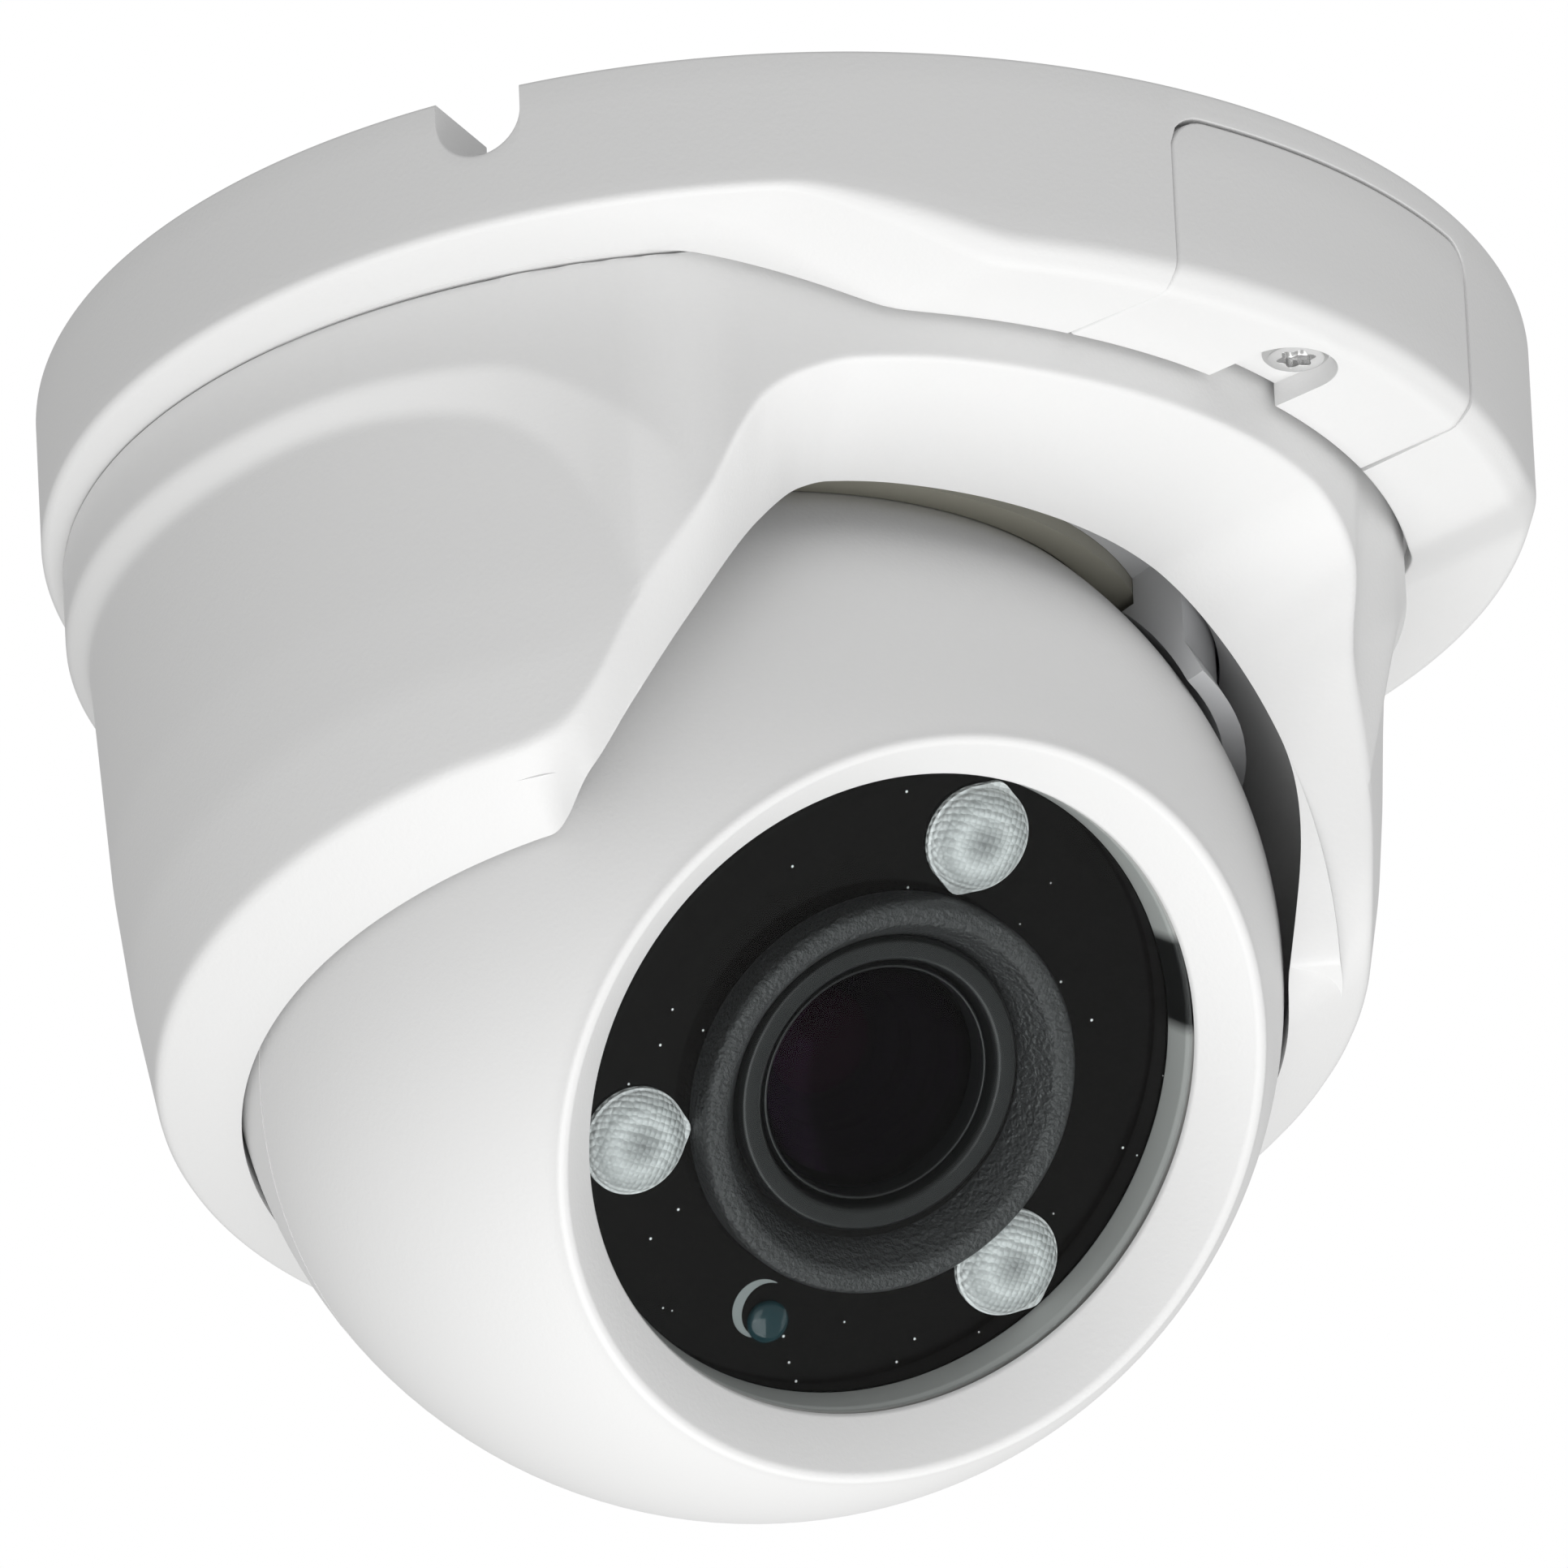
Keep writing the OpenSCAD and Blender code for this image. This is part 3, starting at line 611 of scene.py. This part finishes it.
frame_z = through(side, [0, 14, 24, 29, 32, 34.5, 37, 43.9, 48.7, 52.5, 57, 64],
                  [-22.3, -22.4, -23.0, -24.4, -26.2, -29.4, -33.4, -42.2, -49.6, -53.0, -54.2, -54.7])
rim_z = -57.6 + 6.6 * turned
edge_z = frame_z * (1 - ramp(side, 56, 66)) + rim_z * ramp(side, 56, 66)
lip_z = -62.3 + 5.84 * turned
slot_z = through(side, [0, 15, 23.9, 27.5, 32.5, 40.3, 46, 50.5, 54, 58],
                 [-26.04, -26.15, -26.64, -27.7, -31.84, -42.4, -50.4, -56.2, -58.6, -59.2])
inner_z = slot_z * (1 - ramp(side, 54, 60)) + lip_z * ramp(side, 54, 60)
neck_low = through(side, [35, 37, 42, 46, 50.5, 55, 62, 70, 78],
                   [-33.6, -32.8, -28.8, -25.7, -22.9, -21.0, -20.0, -19.4, -19.2])
wall_top = through(side, [43, 44.5, 48, 52, 57, 64, 72, 79],
                   [-43.0, -41.0, -33.0, -27.6, -24.4, -22.5, -21.5, -21.2])
neck_low = np.maximum(neck_low, edge_z)
wall_top = np.maximum(np.minimum(wall_top, neck_low), edge_z)
print("frame from", edge_z.max().round(1), "to", edge_z.min().round(1), "lip to", inner_z.min().round(1))


def wall_radius(height):
    """Radius of the cover's wall below the ledge: a slight draft that grows towards the rim."""
    return through(-height, [21, 33, 43, 52, 57, 66], [54.6, 53.9, 53.3, 52.2, 51.2, 50.2])


def frame_radius(height):
    """Radius of the slot frame's outer edge: on the neck at the top, on the wall lower down."""
    on_neck = through(-height, [22, 26.5, 33, 36], [56.5, 56.2, 54.2, 53.8])
    return on_neck + np.minimum(wall_radius(height) - 53.8, 0)


print("wall radius from", wall_radius(-21.0).round(1), "at the ledge to", wall_radius(-57.0).round(1))

# %% [markdown]
# ### The casting from its edge lines
# The outside is averaged along each column, as the ring was, but its softness changes on the way: crisp at
# the neck and at the lip, broad at the rim. Near the slot the ledge's stations slide onto the frame's edge,
# so the ledge fades out instead of ending in a fold. The inside is plain, because only its lip can be seen.

# %% Cover surface
def station_softness(path, reach):
    """Softness that changes along the section: crisp at the neck, broad at the rim, crisp at the lip."""
    ends = np.cumsum(np.linalg.norm(np.diff(path, axis=0), axis=2), axis=0)
    wanted = (0.15, 0.3, 1.1, 1.3, 2.2, 2.6, 3.0, 1.2)
    soft = 0 * reach
    start = 0 * ends[0]
    for i, (a, b) in enumerate(zip(wanted[:-1], wanted[1:])):
        low, high = (start if i == 0 else ends[i - 1]), ends[i]
        part = (reach >= low) & (reach <= high + 1e-9)
        soft = np.where(part, a + (b - a) * (reach - low) / np.maximum(high - low, 1e-6), soft)
    tail = (reach > ends[6])
    soft = np.where(tail, 1.2, soft)
    near = np.minimum(reach, ends[-1] - reach)
    return np.clip(np.minimum(soft, 1.9 * near), 0.02, 4.0)


def cover_shell():
    """Outside: neck, ledge, wall, frame edge, bevel to the inner edge. Inside: lip, cavity, shelf, neck."""
    angle = np.radians(bearing)
    flat = 0 * angle
    # the lip comes in towards the ball at the foot of the slot, and earlier on the right-hand side
    hug = np.where(bearing > 0, ramp(side, 38, 52), ramp(side, 50, 57))
    inner_sphere = CAVITY_R * (1 - hug) + LIP_R * hug
    inner_r = np.sqrt(inner_sphere**2 - (inner_z - ball[2]) ** 2)
    stations = [(53.2 + flat, -12.78 + flat), (56.5 + flat, -12.78 + flat), (56.5 + flat, neck_low)]
    merged = 1 - ramp(neck_low - edge_z, 0.0, 16.0)
    edge_r = frame_radius(edge_z)
    stations[2] = (56.5 * (1 - merged) + edge_r * merged, neck_low)
    stations += [(wall_radius(wall_top) * (1 - merged) + edge_r * merged, wall_top)]
    for share in (0.25, 0.5, 0.75):
        z = wall_top + (edge_z - wall_top) * share
        stations.append((wall_radius(z) * (1 - merged) + edge_r * merged, z))
    stations += [(edge_r, edge_z), (inner_r, inner_z)]
    path = np.stack([pan_place(angle, r, z) for r, z in stations])
    length = np.linalg.norm(np.diff(path, axis=0), axis=2).sum(axis=0)
    reach = np.linspace(0, 1, 124)[:, None] * length
    soft = station_softness(path, reach)
    outside = eased(path, reach, soft)
    shelf = ball[2] + 28.34
    start = np.maximum(inner_z, ball[2] - 1.6)
    loops = [(np.sqrt(inner_sphere**2 - (start - ball[2]) ** 2), start)]
    for k in range(9):
        z = start + (shelf - start) * k / 8
        loops.append((np.sqrt(CAVITY_R**2 - (z - ball[2]) ** 2) + 0.002 * k, z + 0.001 * k))
    loops += [(40.5 + flat, shelf + 0.02 + flat), (40.5 + flat, -21.65 + flat), (53.0 + flat, -21.6 + flat)]
    inside = np.stack([pan_place(angle, r, z) for r, z in loops])
    return np.concatenate([outside, inside])


cover = solid("cover_shell", cover_shell(), "turret", ring=True, stands_for=["turret_cover"],
              sharp=70)
coated(cover, powder_coat)

# %% [markdown]
# ## The front of the ball
# The front shell is turned: part of a sphere, a rounded shoulder, and a shallow cone that leads the eye
# down to the window. A profile spun round the optical axis gives all of it.

# %% Front shell
def front_shell():
    """A closed profile of (radius, ahead): sphere from the seam to the face, cone to the window, inside."""
    lean = np.linspace(np.arcsin(-3.7 / BALL_R), np.arcsin(29.3 / BALL_R), 26)
    outer = [(BALL_R * np.cos(a), BALL_R * np.sin(a)) for a in lean]
    front = [(33.0, 30.0), (32.3, 30.0), (28.4, 26.3), (28.3, 25.9), (30.5, 25.9), (30.5, 19.5), (37.5, 19.2)]
    inner = [(42.3 * np.cos(a), 42.3 * np.sin(a)) for a in np.linspace(np.arcsin(19 / 42.3), -0.09, 8)]
    seam = [(42.4, -3.95), (44.05, -3.95)]
    profile = outer + front + inner + seam
    softness = [1.5] * (len(outer) - 2) + [1.6, 1.2, 1.4, 0.4, 0.05, 0.1, 0.2] + [0.3] * 9
    return spun(profile, softness[: len(profile) - 2], count=160, between=1)


coated(solid("front_shell", front_shell(), "eyeball", ring=True,
             stands_for=["ball_front_shell"]), powder_coat)

# %% [markdown]
# ## Behind the window
# A black plate hides the electronics. Three moulded lenses stand out of it, each a low dome covered in
# tiny lenslets that spread the light, and at the bottom a light sensor looks out of its own small dome.

# %% Cover plate
PLATE = 22.0
LENS_R = 4.7
LED_CIRCLE = 22.3
plate = [(12.4, 20.7), (28.1, 20.7), (28.1, PLATE), (12.4, PLATE)]
# Polished moulding: black, with pale specks.
specked_black = finish("polished black plate with pale specks", "#060404", 0.12, ior=1.25, mottle=0.02)
tree = specked_black.node_tree
place = add(tree, "TexCoord")
# a speck is a ball of 0.24 mm in each 2.4 mm cell, and only those that cross the plate's face show
cells = add(tree, "TexVoronoi", {"Vector": (place, "Object"), "Scale": 1 / (2.4 * MM)})
speck = add(tree, "Math", {0: (cells, "Distance"), 1: 0.05}, operation="LESS_THAN")
tone = add(tree, "ValToRGB", {"Fac": (speck, "Value")})
tone.color_ramp.elements[0].color, tone.color_ramp.elements[1].color = srgb("#060404"), srgb("#E8E8E8")
tree.links.new(tone.outputs["Color"], tree.nodes["Principled BSDF"].inputs["Base Color"])
coated(solid("cover_plate", spun(plate + plate[:1], 0.2, 128, 1), "eyeball", ring=True,
             stands_for=["led_cover"]), specked_black)

# %% [markdown]
# ### The clamp ring
# A pale moulded ring presses the window home, and its sloping inner wall shows through the glass. At one
# place it has a black notch. A second piece for the notch would need a gap cut for it, so the points there
# are marked instead, and the material reads the mark as an attribute.

# %% Clamp ring
clamp = [(30.2, 19.6), (30.2, 24.9), (28.6, 24.9), (28.2, 24.5), (27.7, 22.1), (28.3, 22.1), (28.3, 19.6)]
clamp_ring = solid("clamp_ring", spun(clamp + clamp[:1], 0.3, 144, 1), "eyeball", ring=True,
                   stands_for=["window_clamp_ring"])


def notched(piece, middle, half):
    """Marks the points between two bearings about the optical axis, for a black notch in a pale ring."""
    spots = np.zeros(len(piece.data.vertices) * 3)
    piece.data.vertices.foreach_get("co", spots)
    off = spots.reshape(-1, 3) / MM - ball
    bearing_now = np.degrees(np.arctan2(off @ UP, off @ RIGHT))
    layer = piece.data.attributes.new("notch", "FLOAT", "POINT")
    layer.data.foreach_set("value", (np.abs(bearing_now - middle) < half).astype(np.float32))
    material = finish("pale clamp ring with a black notch", "#B9B8B6", 0.35, ior=1.5, mottle=0.03)
    tree = material.node_tree
    mark = add(tree, "Attribute", attribute_name="notch")
    tone = add(tree, "ValToRGB", {"Fac": (mark, "Fac")})
    tone.color_ramp.elements[0].color, tone.color_ramp.elements[1].color = srgb("#B9B8B6"), srgb("#060606")
    tree.links.new(tone.outputs["Color"], tree.nodes["Principled BSDF"].inputs["Base Color"])
    coated(piece, material)


notched(clamp_ring, 33.0, 9.0)

# %% [markdown]
# ### The window
# The window is a plain disc of flat glass. It only has to be closed and thin.

# %% Window pane
pane = [(0.03, 25.2), (28.2, 25.2), (28.2, 25.7), (0.03, 25.7)]
coated(solid("window_pane", spun(pane, 0.1, 128, 1), "eyeball", stands_for=["window_glass"]),
       window_pane)

# %% [markdown]
# ### Infrared lenses
# Each lens is a low dome on a round flange with two small tabs, moulded with rows of tiny lenslets.
# Hundreds of real lenslets would cost more than they show, so the dome is geometry and the lenslets are
# bumps on a cell pattern, drawn at 0.55 mm, which is about as fine as still shows.

# %% Infrared lenses
def led_lens(angle):
    """A low dome on a round flange with two small tabs; rows from the flange's back to the crown."""
    rise = np.linspace(0, 1, 12)
    dome = [((LENS_R - 0.25) * np.sqrt(1 - h * h), 22.7 + 1.25 * h) for h in rise[:-1]]
    profile = [(LENS_R, 20.9), (LENS_R, 22.5), (LENS_R - 0.2, 22.6)] + dome[1:] + [(0.03, 23.95)]
    rows = np.array(profile)
    spin = np.linspace(0, 2 * np.pi, 72, endpoint=False)
    tab = 0.45 * np.exp(-((np.sin(spin - angle) / 0.22) ** 2))
    radius = rows[:, 0][:, None] + np.where(rows[:, 1] < 22.55, 1, 0)[:, None] * tab
    x = LED_CIRCLE * np.cos(angle) + radius * np.cos(spin)
    y = LED_CIRCLE * np.sin(angle) + radius * np.sin(spin)
    return eye_place(x, y, rows[:, 1][:, None] + 0 * spin)


def lenslet_finish():
    """Clear moulding over a bright reflector: rows of lenslets as bumps, and pale rings of painted reflection."""
    material = finish("lenslet moulding with painted reflection", "#9A9C9C", 0.22, ior=1.49)
    tree = material.node_tree
    shader = tree.nodes["Principled BSDF"]
    place = add(tree, "TexCoord")
    grid = {"Vector": (place, "Object"), "Scale": 1 / (0.55 * MM), "Randomness": 0.25}
    cells = add(tree, "TexVoronoi", grid)
    relief = {"Height": (cells, "Distance"), "Strength": 1.0, "Distance": 0.3 * MM}
    bump = add(tree, "Bump", relief, invert=True)
    tree.links.new(bump.outputs["Normal"], shader.inputs["Normal"])
    # the rings of tone from a grey middle to a white rim are painted reflection: they stand in for the reflector's
    # light seen through the clear moulding
    middle = add(tree, "Attribute", attribute_name="from_middle")
    tone = add(tree, "ValToRGB", {"Fac": (middle, "Fac")})
    tone.color_ramp.elements[0].position, tone.color_ramp.elements[0].color = 0.0, srgb("#8E9090")
    tone.color_ramp.elements[1].position, tone.color_ramp.elements[1].color = 1.0, srgb("#F2F3F3")
    for at, colour in ((0.25, "#AEB0B0"), (0.5, "#D6D8D8"), (0.8, "#B4B6B6")):
        tone.color_ramp.elements.new(at).color = srgb(colour)
    tree.links.new(tone.outputs["Color"], shader.inputs["Base Color"])
    return material


lenslets = lenslet_finish()
for i in range(3):
    angle = np.radians(90 - 3 + 120 * i)
    lens = solid(f"infrared_lens_{i + 1}", led_lens(angle), "eyeball",
                 stands_for=[f"ir_lens_{i + 1}"])
    spots = np.zeros(len(lens.data.vertices) * 3)
    lens.data.vertices.foreach_get("co", spots)
    away = np.array([LED_CIRCLE * np.cos(angle), LED_CIRCLE * np.sin(angle), PLATE])
    centre = eye_place(*away)
    off = spots.reshape(-1, 3) / MM - centre
    off -= (off @ AHEAD)[:, None] * AHEAD
    layer = lens.data.attributes.new("from_middle", "FLOAT", "POINT")
    layer.data.foreach_set("value", np.clip(np.linalg.norm(off, axis=1) / LENS_R, 0, 1))
    coated(lens, lenslets)

# %% [markdown]
# ### The light sensor
# A small dark dome lets the camera tell day from night. Beside it a pale crescent is painted highlight:
# a thin sheet that stands in for light caught beside the dome. Both are tiny, so a few rows each are enough.

# %% Light sensor
sensor_turn = np.radians(-93)


def sensor_dome():
    """A low clear dome over the sensor chip."""
    rows = np.array([(1.9, 20.7), (1.9, 22.2)] + [(1.9 * np.cos(a), 22.2 + 0.7 * np.sin(a))
                                                 for a in np.linspace(0.15, 1.55, 7)])
    spin = np.linspace(0, 2 * np.pi, 48, endpoint=False)
    x = LED_CIRCLE * np.cos(sensor_turn) + rows[:, 0][:, None] * np.cos(spin)
    y = LED_CIRCLE * np.sin(sensor_turn) + rows[:, 0][:, None] * np.sin(spin)
    return eye_place(x, y, rows[:, 1][:, None] + 0 * spin)


def sensor_crescent():
    """A pale crescent beside the dome, painted highlight: two arcs that meet at their ends, given a thin wall."""
    turn_to = np.linspace(np.radians(75), np.radians(285), 40)
    swell = np.sin(np.linspace(0, np.pi, 40))
    outer_r, inner_r = 2.6 + 0 * swell, 2.55 - 0.9 * swell
    middle_x, middle_y = LED_CIRCLE * np.cos(sensor_turn) - 1.1, LED_CIRCLE * np.sin(sensor_turn) + 0.9
    loops = []
    for radius, height in ((inner_r, PLATE - 0.2), (outer_r, PLATE - 0.2), (outer_r, PLATE + 0.06),
                           (inner_r, PLATE + 0.06)):
        loops.append(eye_place(middle_x + radius * np.cos(turn_to), middle_y + radius * np.sin(turn_to),
                               height + 0 * turn_to))
    return np.stack(loops, axis=1)


# the pale crescent is painted highlight: a thin pale sheet on the plate in place of light caught beside the sensor
# dome
coated(solid("sensor_highlight_crescent", sensor_crescent(), "eyeball"),
       finish("painted highlight crescent", "#8B9090", 0.3, ior=1.49, mottle=0.02))
coated(solid("sensor_dome", sensor_dome(), "eyeball", stands_for=["light_guide"]),
       finish("tinted sensor dome", "#16343A", 0.12, ior=1.49, mottle=0.02))


# %% [markdown]
# ## The lens
# Round the lens lies a soft foam ring that seals it against the window and keeps stray infrared light
# out. Inside it are the barrel's rim, a narrower ring that carries the front element, and dark baffles
# that step down towards the iris. Each is a spun profile with soft corners.

# %% Lens rings
foam = [(13.2, 21.4), (13.2, 21.9), (15.4, 25.1), (17.0, 25.1), (17.4, 24.6), (17.4, 21.4)]
FOAM_OFF = (0.7, -0.6)
foam_loop = spun(foam + foam[:1], [0.5, 1.2, 1.0, 0.8, 0.1], 160, 2, FOAM_OFF)
coated(solid("foam_ring", foam_loop, "eyeball", ring=True, stands_for=["lens_foam_ring"]), black_foam)

barrel = [(13.0, 17.0), (13.0, 23.1), (12.7, 23.6), (11.2, 23.6), (10.9, 23.2), (10.7, 20.0), (10.6, 17.0)]
coated(solid("barrel_rim", spun(barrel + barrel[:1], [0.3, 0.4, 0.4, 0.5, 0.4, 0.1], 144), "eyeball",
             ring=True, stands_for=["lens_barrel"]), black_anodised)

holder = [(10.5, 15.0), (10.5, 22.4), (10.35, 22.8), (10.15, 22.8), (10.0, 22.4), (9.95, 15.0)]
coated(solid("element_ring", spun(holder + holder[:1], [0.2, 0.4, 0.4, 0.4, 0.1], 144), "front_group",
             ring=True, stands_for=["lens_front_ring"]), black_anodised)

# %% [markdown]
# ### Glass and the dark inside
# What makes a lens look deep is what lies behind its glass: black steps that get narrower, and a small
# coated element far down whose pink-violet colour is a painted reflection. The front glass itself is nearly clear.

# %% Lens glass and baffles
crown = [(9.9 * np.cos(a), 20.9 + 1.6 * np.sin(a)) for a in np.linspace(0.05, 1.55, 12)]
coated(solid("front_element", spun([(9.9, 20.2)] + crown + [(0.03, 22.52)], 0.3, 128, 1),
             "front_group", stands_for=["lens_front_element"]), coated_lens)
steps = [(9.3, 19.4), (8.2, 18.4), (8.2, 17.0), (6.6, 16.2), (6.6, 14.2), (4.9, 13.2), (4.9, 11.5),
         (3.4, 10.6), (0.03, 10.4), (0.03, 9.9), (9.4, 9.9), (9.4, 18.8)]
coated(solid("lens_baffles", spun(steps + steps[:1], 0.2, 112, 1), "eyeball", ring=True),
       black_anodised)
# the inner element's pink-violet base colour is painted reflection, in place of the light its coating sends back
pupil = [(4.7 * np.cos(a), 12.0 + 1.9 * np.sin(a)) for a in np.linspace(0.05, 1.55, 10)]
coated(solid("inner_element", spun([(4.7, 11.6)] + pupil + [(0.03, 13.9)], 0.2, 96, 1), "eyeball"), finish("inner lens with painted violet reflection", "#B0607F", 0.15, ior=1.6, coat=0.6))

# %% [markdown]
# ## Everything that stays as CAD
# Boards, posts, screws and rings that hardly show keep their exact solids. Each takes the finish that its
# record slot names; the LED board is given the black plastic finish.

# %% Finishes for CAD nodes
by_slot = {
    "white_paint": powder_coat, "foam": black_foam, "rubber": black_rubber, "stainless": steel,
    "circuit_board": solder_mask, "black_plastic": black_gloss, "button": red_plastic, "acetal": acetal,
    "grey_plastic": grey_nylon, "clear_glass": window_pane, "light_plastic": white_moulding,
    "led": led_package, "clear_lens": lenslets, "sensor": silicon, "black_metal": black_anodised,
    "brass_post": brass, "aluminium": aluminium, "ribbon": ribbon, "coated_glass": coated_lens,
    "filter_glass": coated_lens,
}
slots = {part["node"]: part["material_slot"] for part in frame["record"]["subparts"]}
slots["led_board"] = "black_plastic"
for name, piece in nodes.items():
    for place in piece.material_slots:
        place.material = by_slot[slots[name]]
print(len(nodes), "CAD nodes finished")

# %% [markdown]
# ## Stage, light and camera
# The camera looks up from below, so the floor is far under the object and only lightens the view from
# above. A broad soft light from below and in front makes the faces that look down the brightest, as in a
# studio with a white table. The lens is very long, because the proportions are those of a distant eye.

# %% Floor and world
floor_mesh = bpy.data.meshes.new("floor")
reach, deep = 30.0, -8.0
corners = [(-reach, -reach, deep), (reach, -reach, deep), (reach, reach, deep), (-reach, reach, deep)]
floor_mesh.from_pydata(corners, [], [(0, 1, 2, 3)])
floor = bpy.data.objects.new("floor", floor_mesh)
bpy.context.scene.collection.objects.link(floor)
coated(floor, finish("pale studio floor", "#F4F4F2", 0.8))

world = bpy.data.worlds.new("white studio")
bpy.context.scene.world = world
world.use_nodes = True
seen = add(world.node_tree, "LightPath")
backdrop = world.node_tree.nodes["Background"]
backdrop.inputs["Color"].default_value = srgb("#FFFFFF")
level = add(world.node_tree, "MapRange", {"Value": (seen, "Is Camera Ray"), "To Min": 0.5, "To Max": 1.0})
world.node_tree.links.new(level.outputs["Result"], backdrop.inputs["Strength"])
print("floor", 2 * reach, "m wide,", -deep, "m below")

# %% [markdown]
# ### Three soft lamps
# The strongest comes from nearly straight below, as off a white table, so faces that look down are the
# brightest. A second fills the front from the lower left, and a weak one from the right lifts the far edges.

# %% Lights
def lamp(name, azimuth, elevation, distance, size, power):
    """A square soft light at a bearing and height, aimed at the ball."""
    a, e = np.radians(azimuth), np.radians(elevation)
    away = Vector((np.sin(a) * np.cos(e), -np.cos(a) * np.cos(e), np.sin(e)))
    light = bpy.data.lights.new(name, "AREA")
    light.size, light.energy = size, power
    holder_object = bpy.data.objects.new(name, light)
    bpy.context.scene.collection.objects.link(holder_object)
    target = Vector(tuple(ball * MM))
    spot = target + away * distance
    turn_to = (target - spot).to_track_quat("-Z", "Y").to_matrix().to_4x4()
    holder_object.matrix_world = Matrix.Translation(spot) @ turn_to
    holder_object.visible_camera = False


lamp("table bounce", -20, -80, 0.9, 1.0, 6.9)
lamp("front fill", -30, -38, 1.3, 0.9, 3.2)
lamp("right key", 75, -15, 1.2, 0.6, 0.8)

print(len(bpy.data.lights), "lamps")

# %% [markdown]
# ### The camera
# The view is from the left and below, nearly without perspective. Standing five metres off with a very long
# lens gives that. The picture is as wide as a set width in metres at the object's distance, so the focal
# length is worked out from the sensor, the distance and that width.

# %% Camera
centre = Vector((-1.21, 0.87, -36.85)) * MM
azimuth, elevation, roll = np.radians(-35.6), np.radians(-26.4), np.radians(-2.85)
distance, seen_width, sensor = 5.0, 0.1318, 36.0
away = Vector((np.sin(azimuth) * np.cos(elevation), -np.cos(azimuth) * np.cos(elevation), np.sin(elevation)))
eye = bpy.data.cameras.new("camera")
eye.sensor_width, eye.lens = sensor, sensor * distance / seen_width
eye.clip_start, eye.clip_end = 0.05, 60.0
camera = bpy.data.objects.new("camera", eye)
bpy.context.scene.collection.objects.link(camera)
look = (-away).to_track_quat("-Z", "Y").to_matrix().to_4x4() @ Matrix.Rotation(roll, 4, "Z")
camera.matrix_world = Matrix.Translation(centre + away * distance) @ look
bpy.context.scene.camera = camera
bpy.context.scene.view_settings.view_transform = "Standard"

print("camera", distance, "m away, lens", round(eye.lens), "mm")
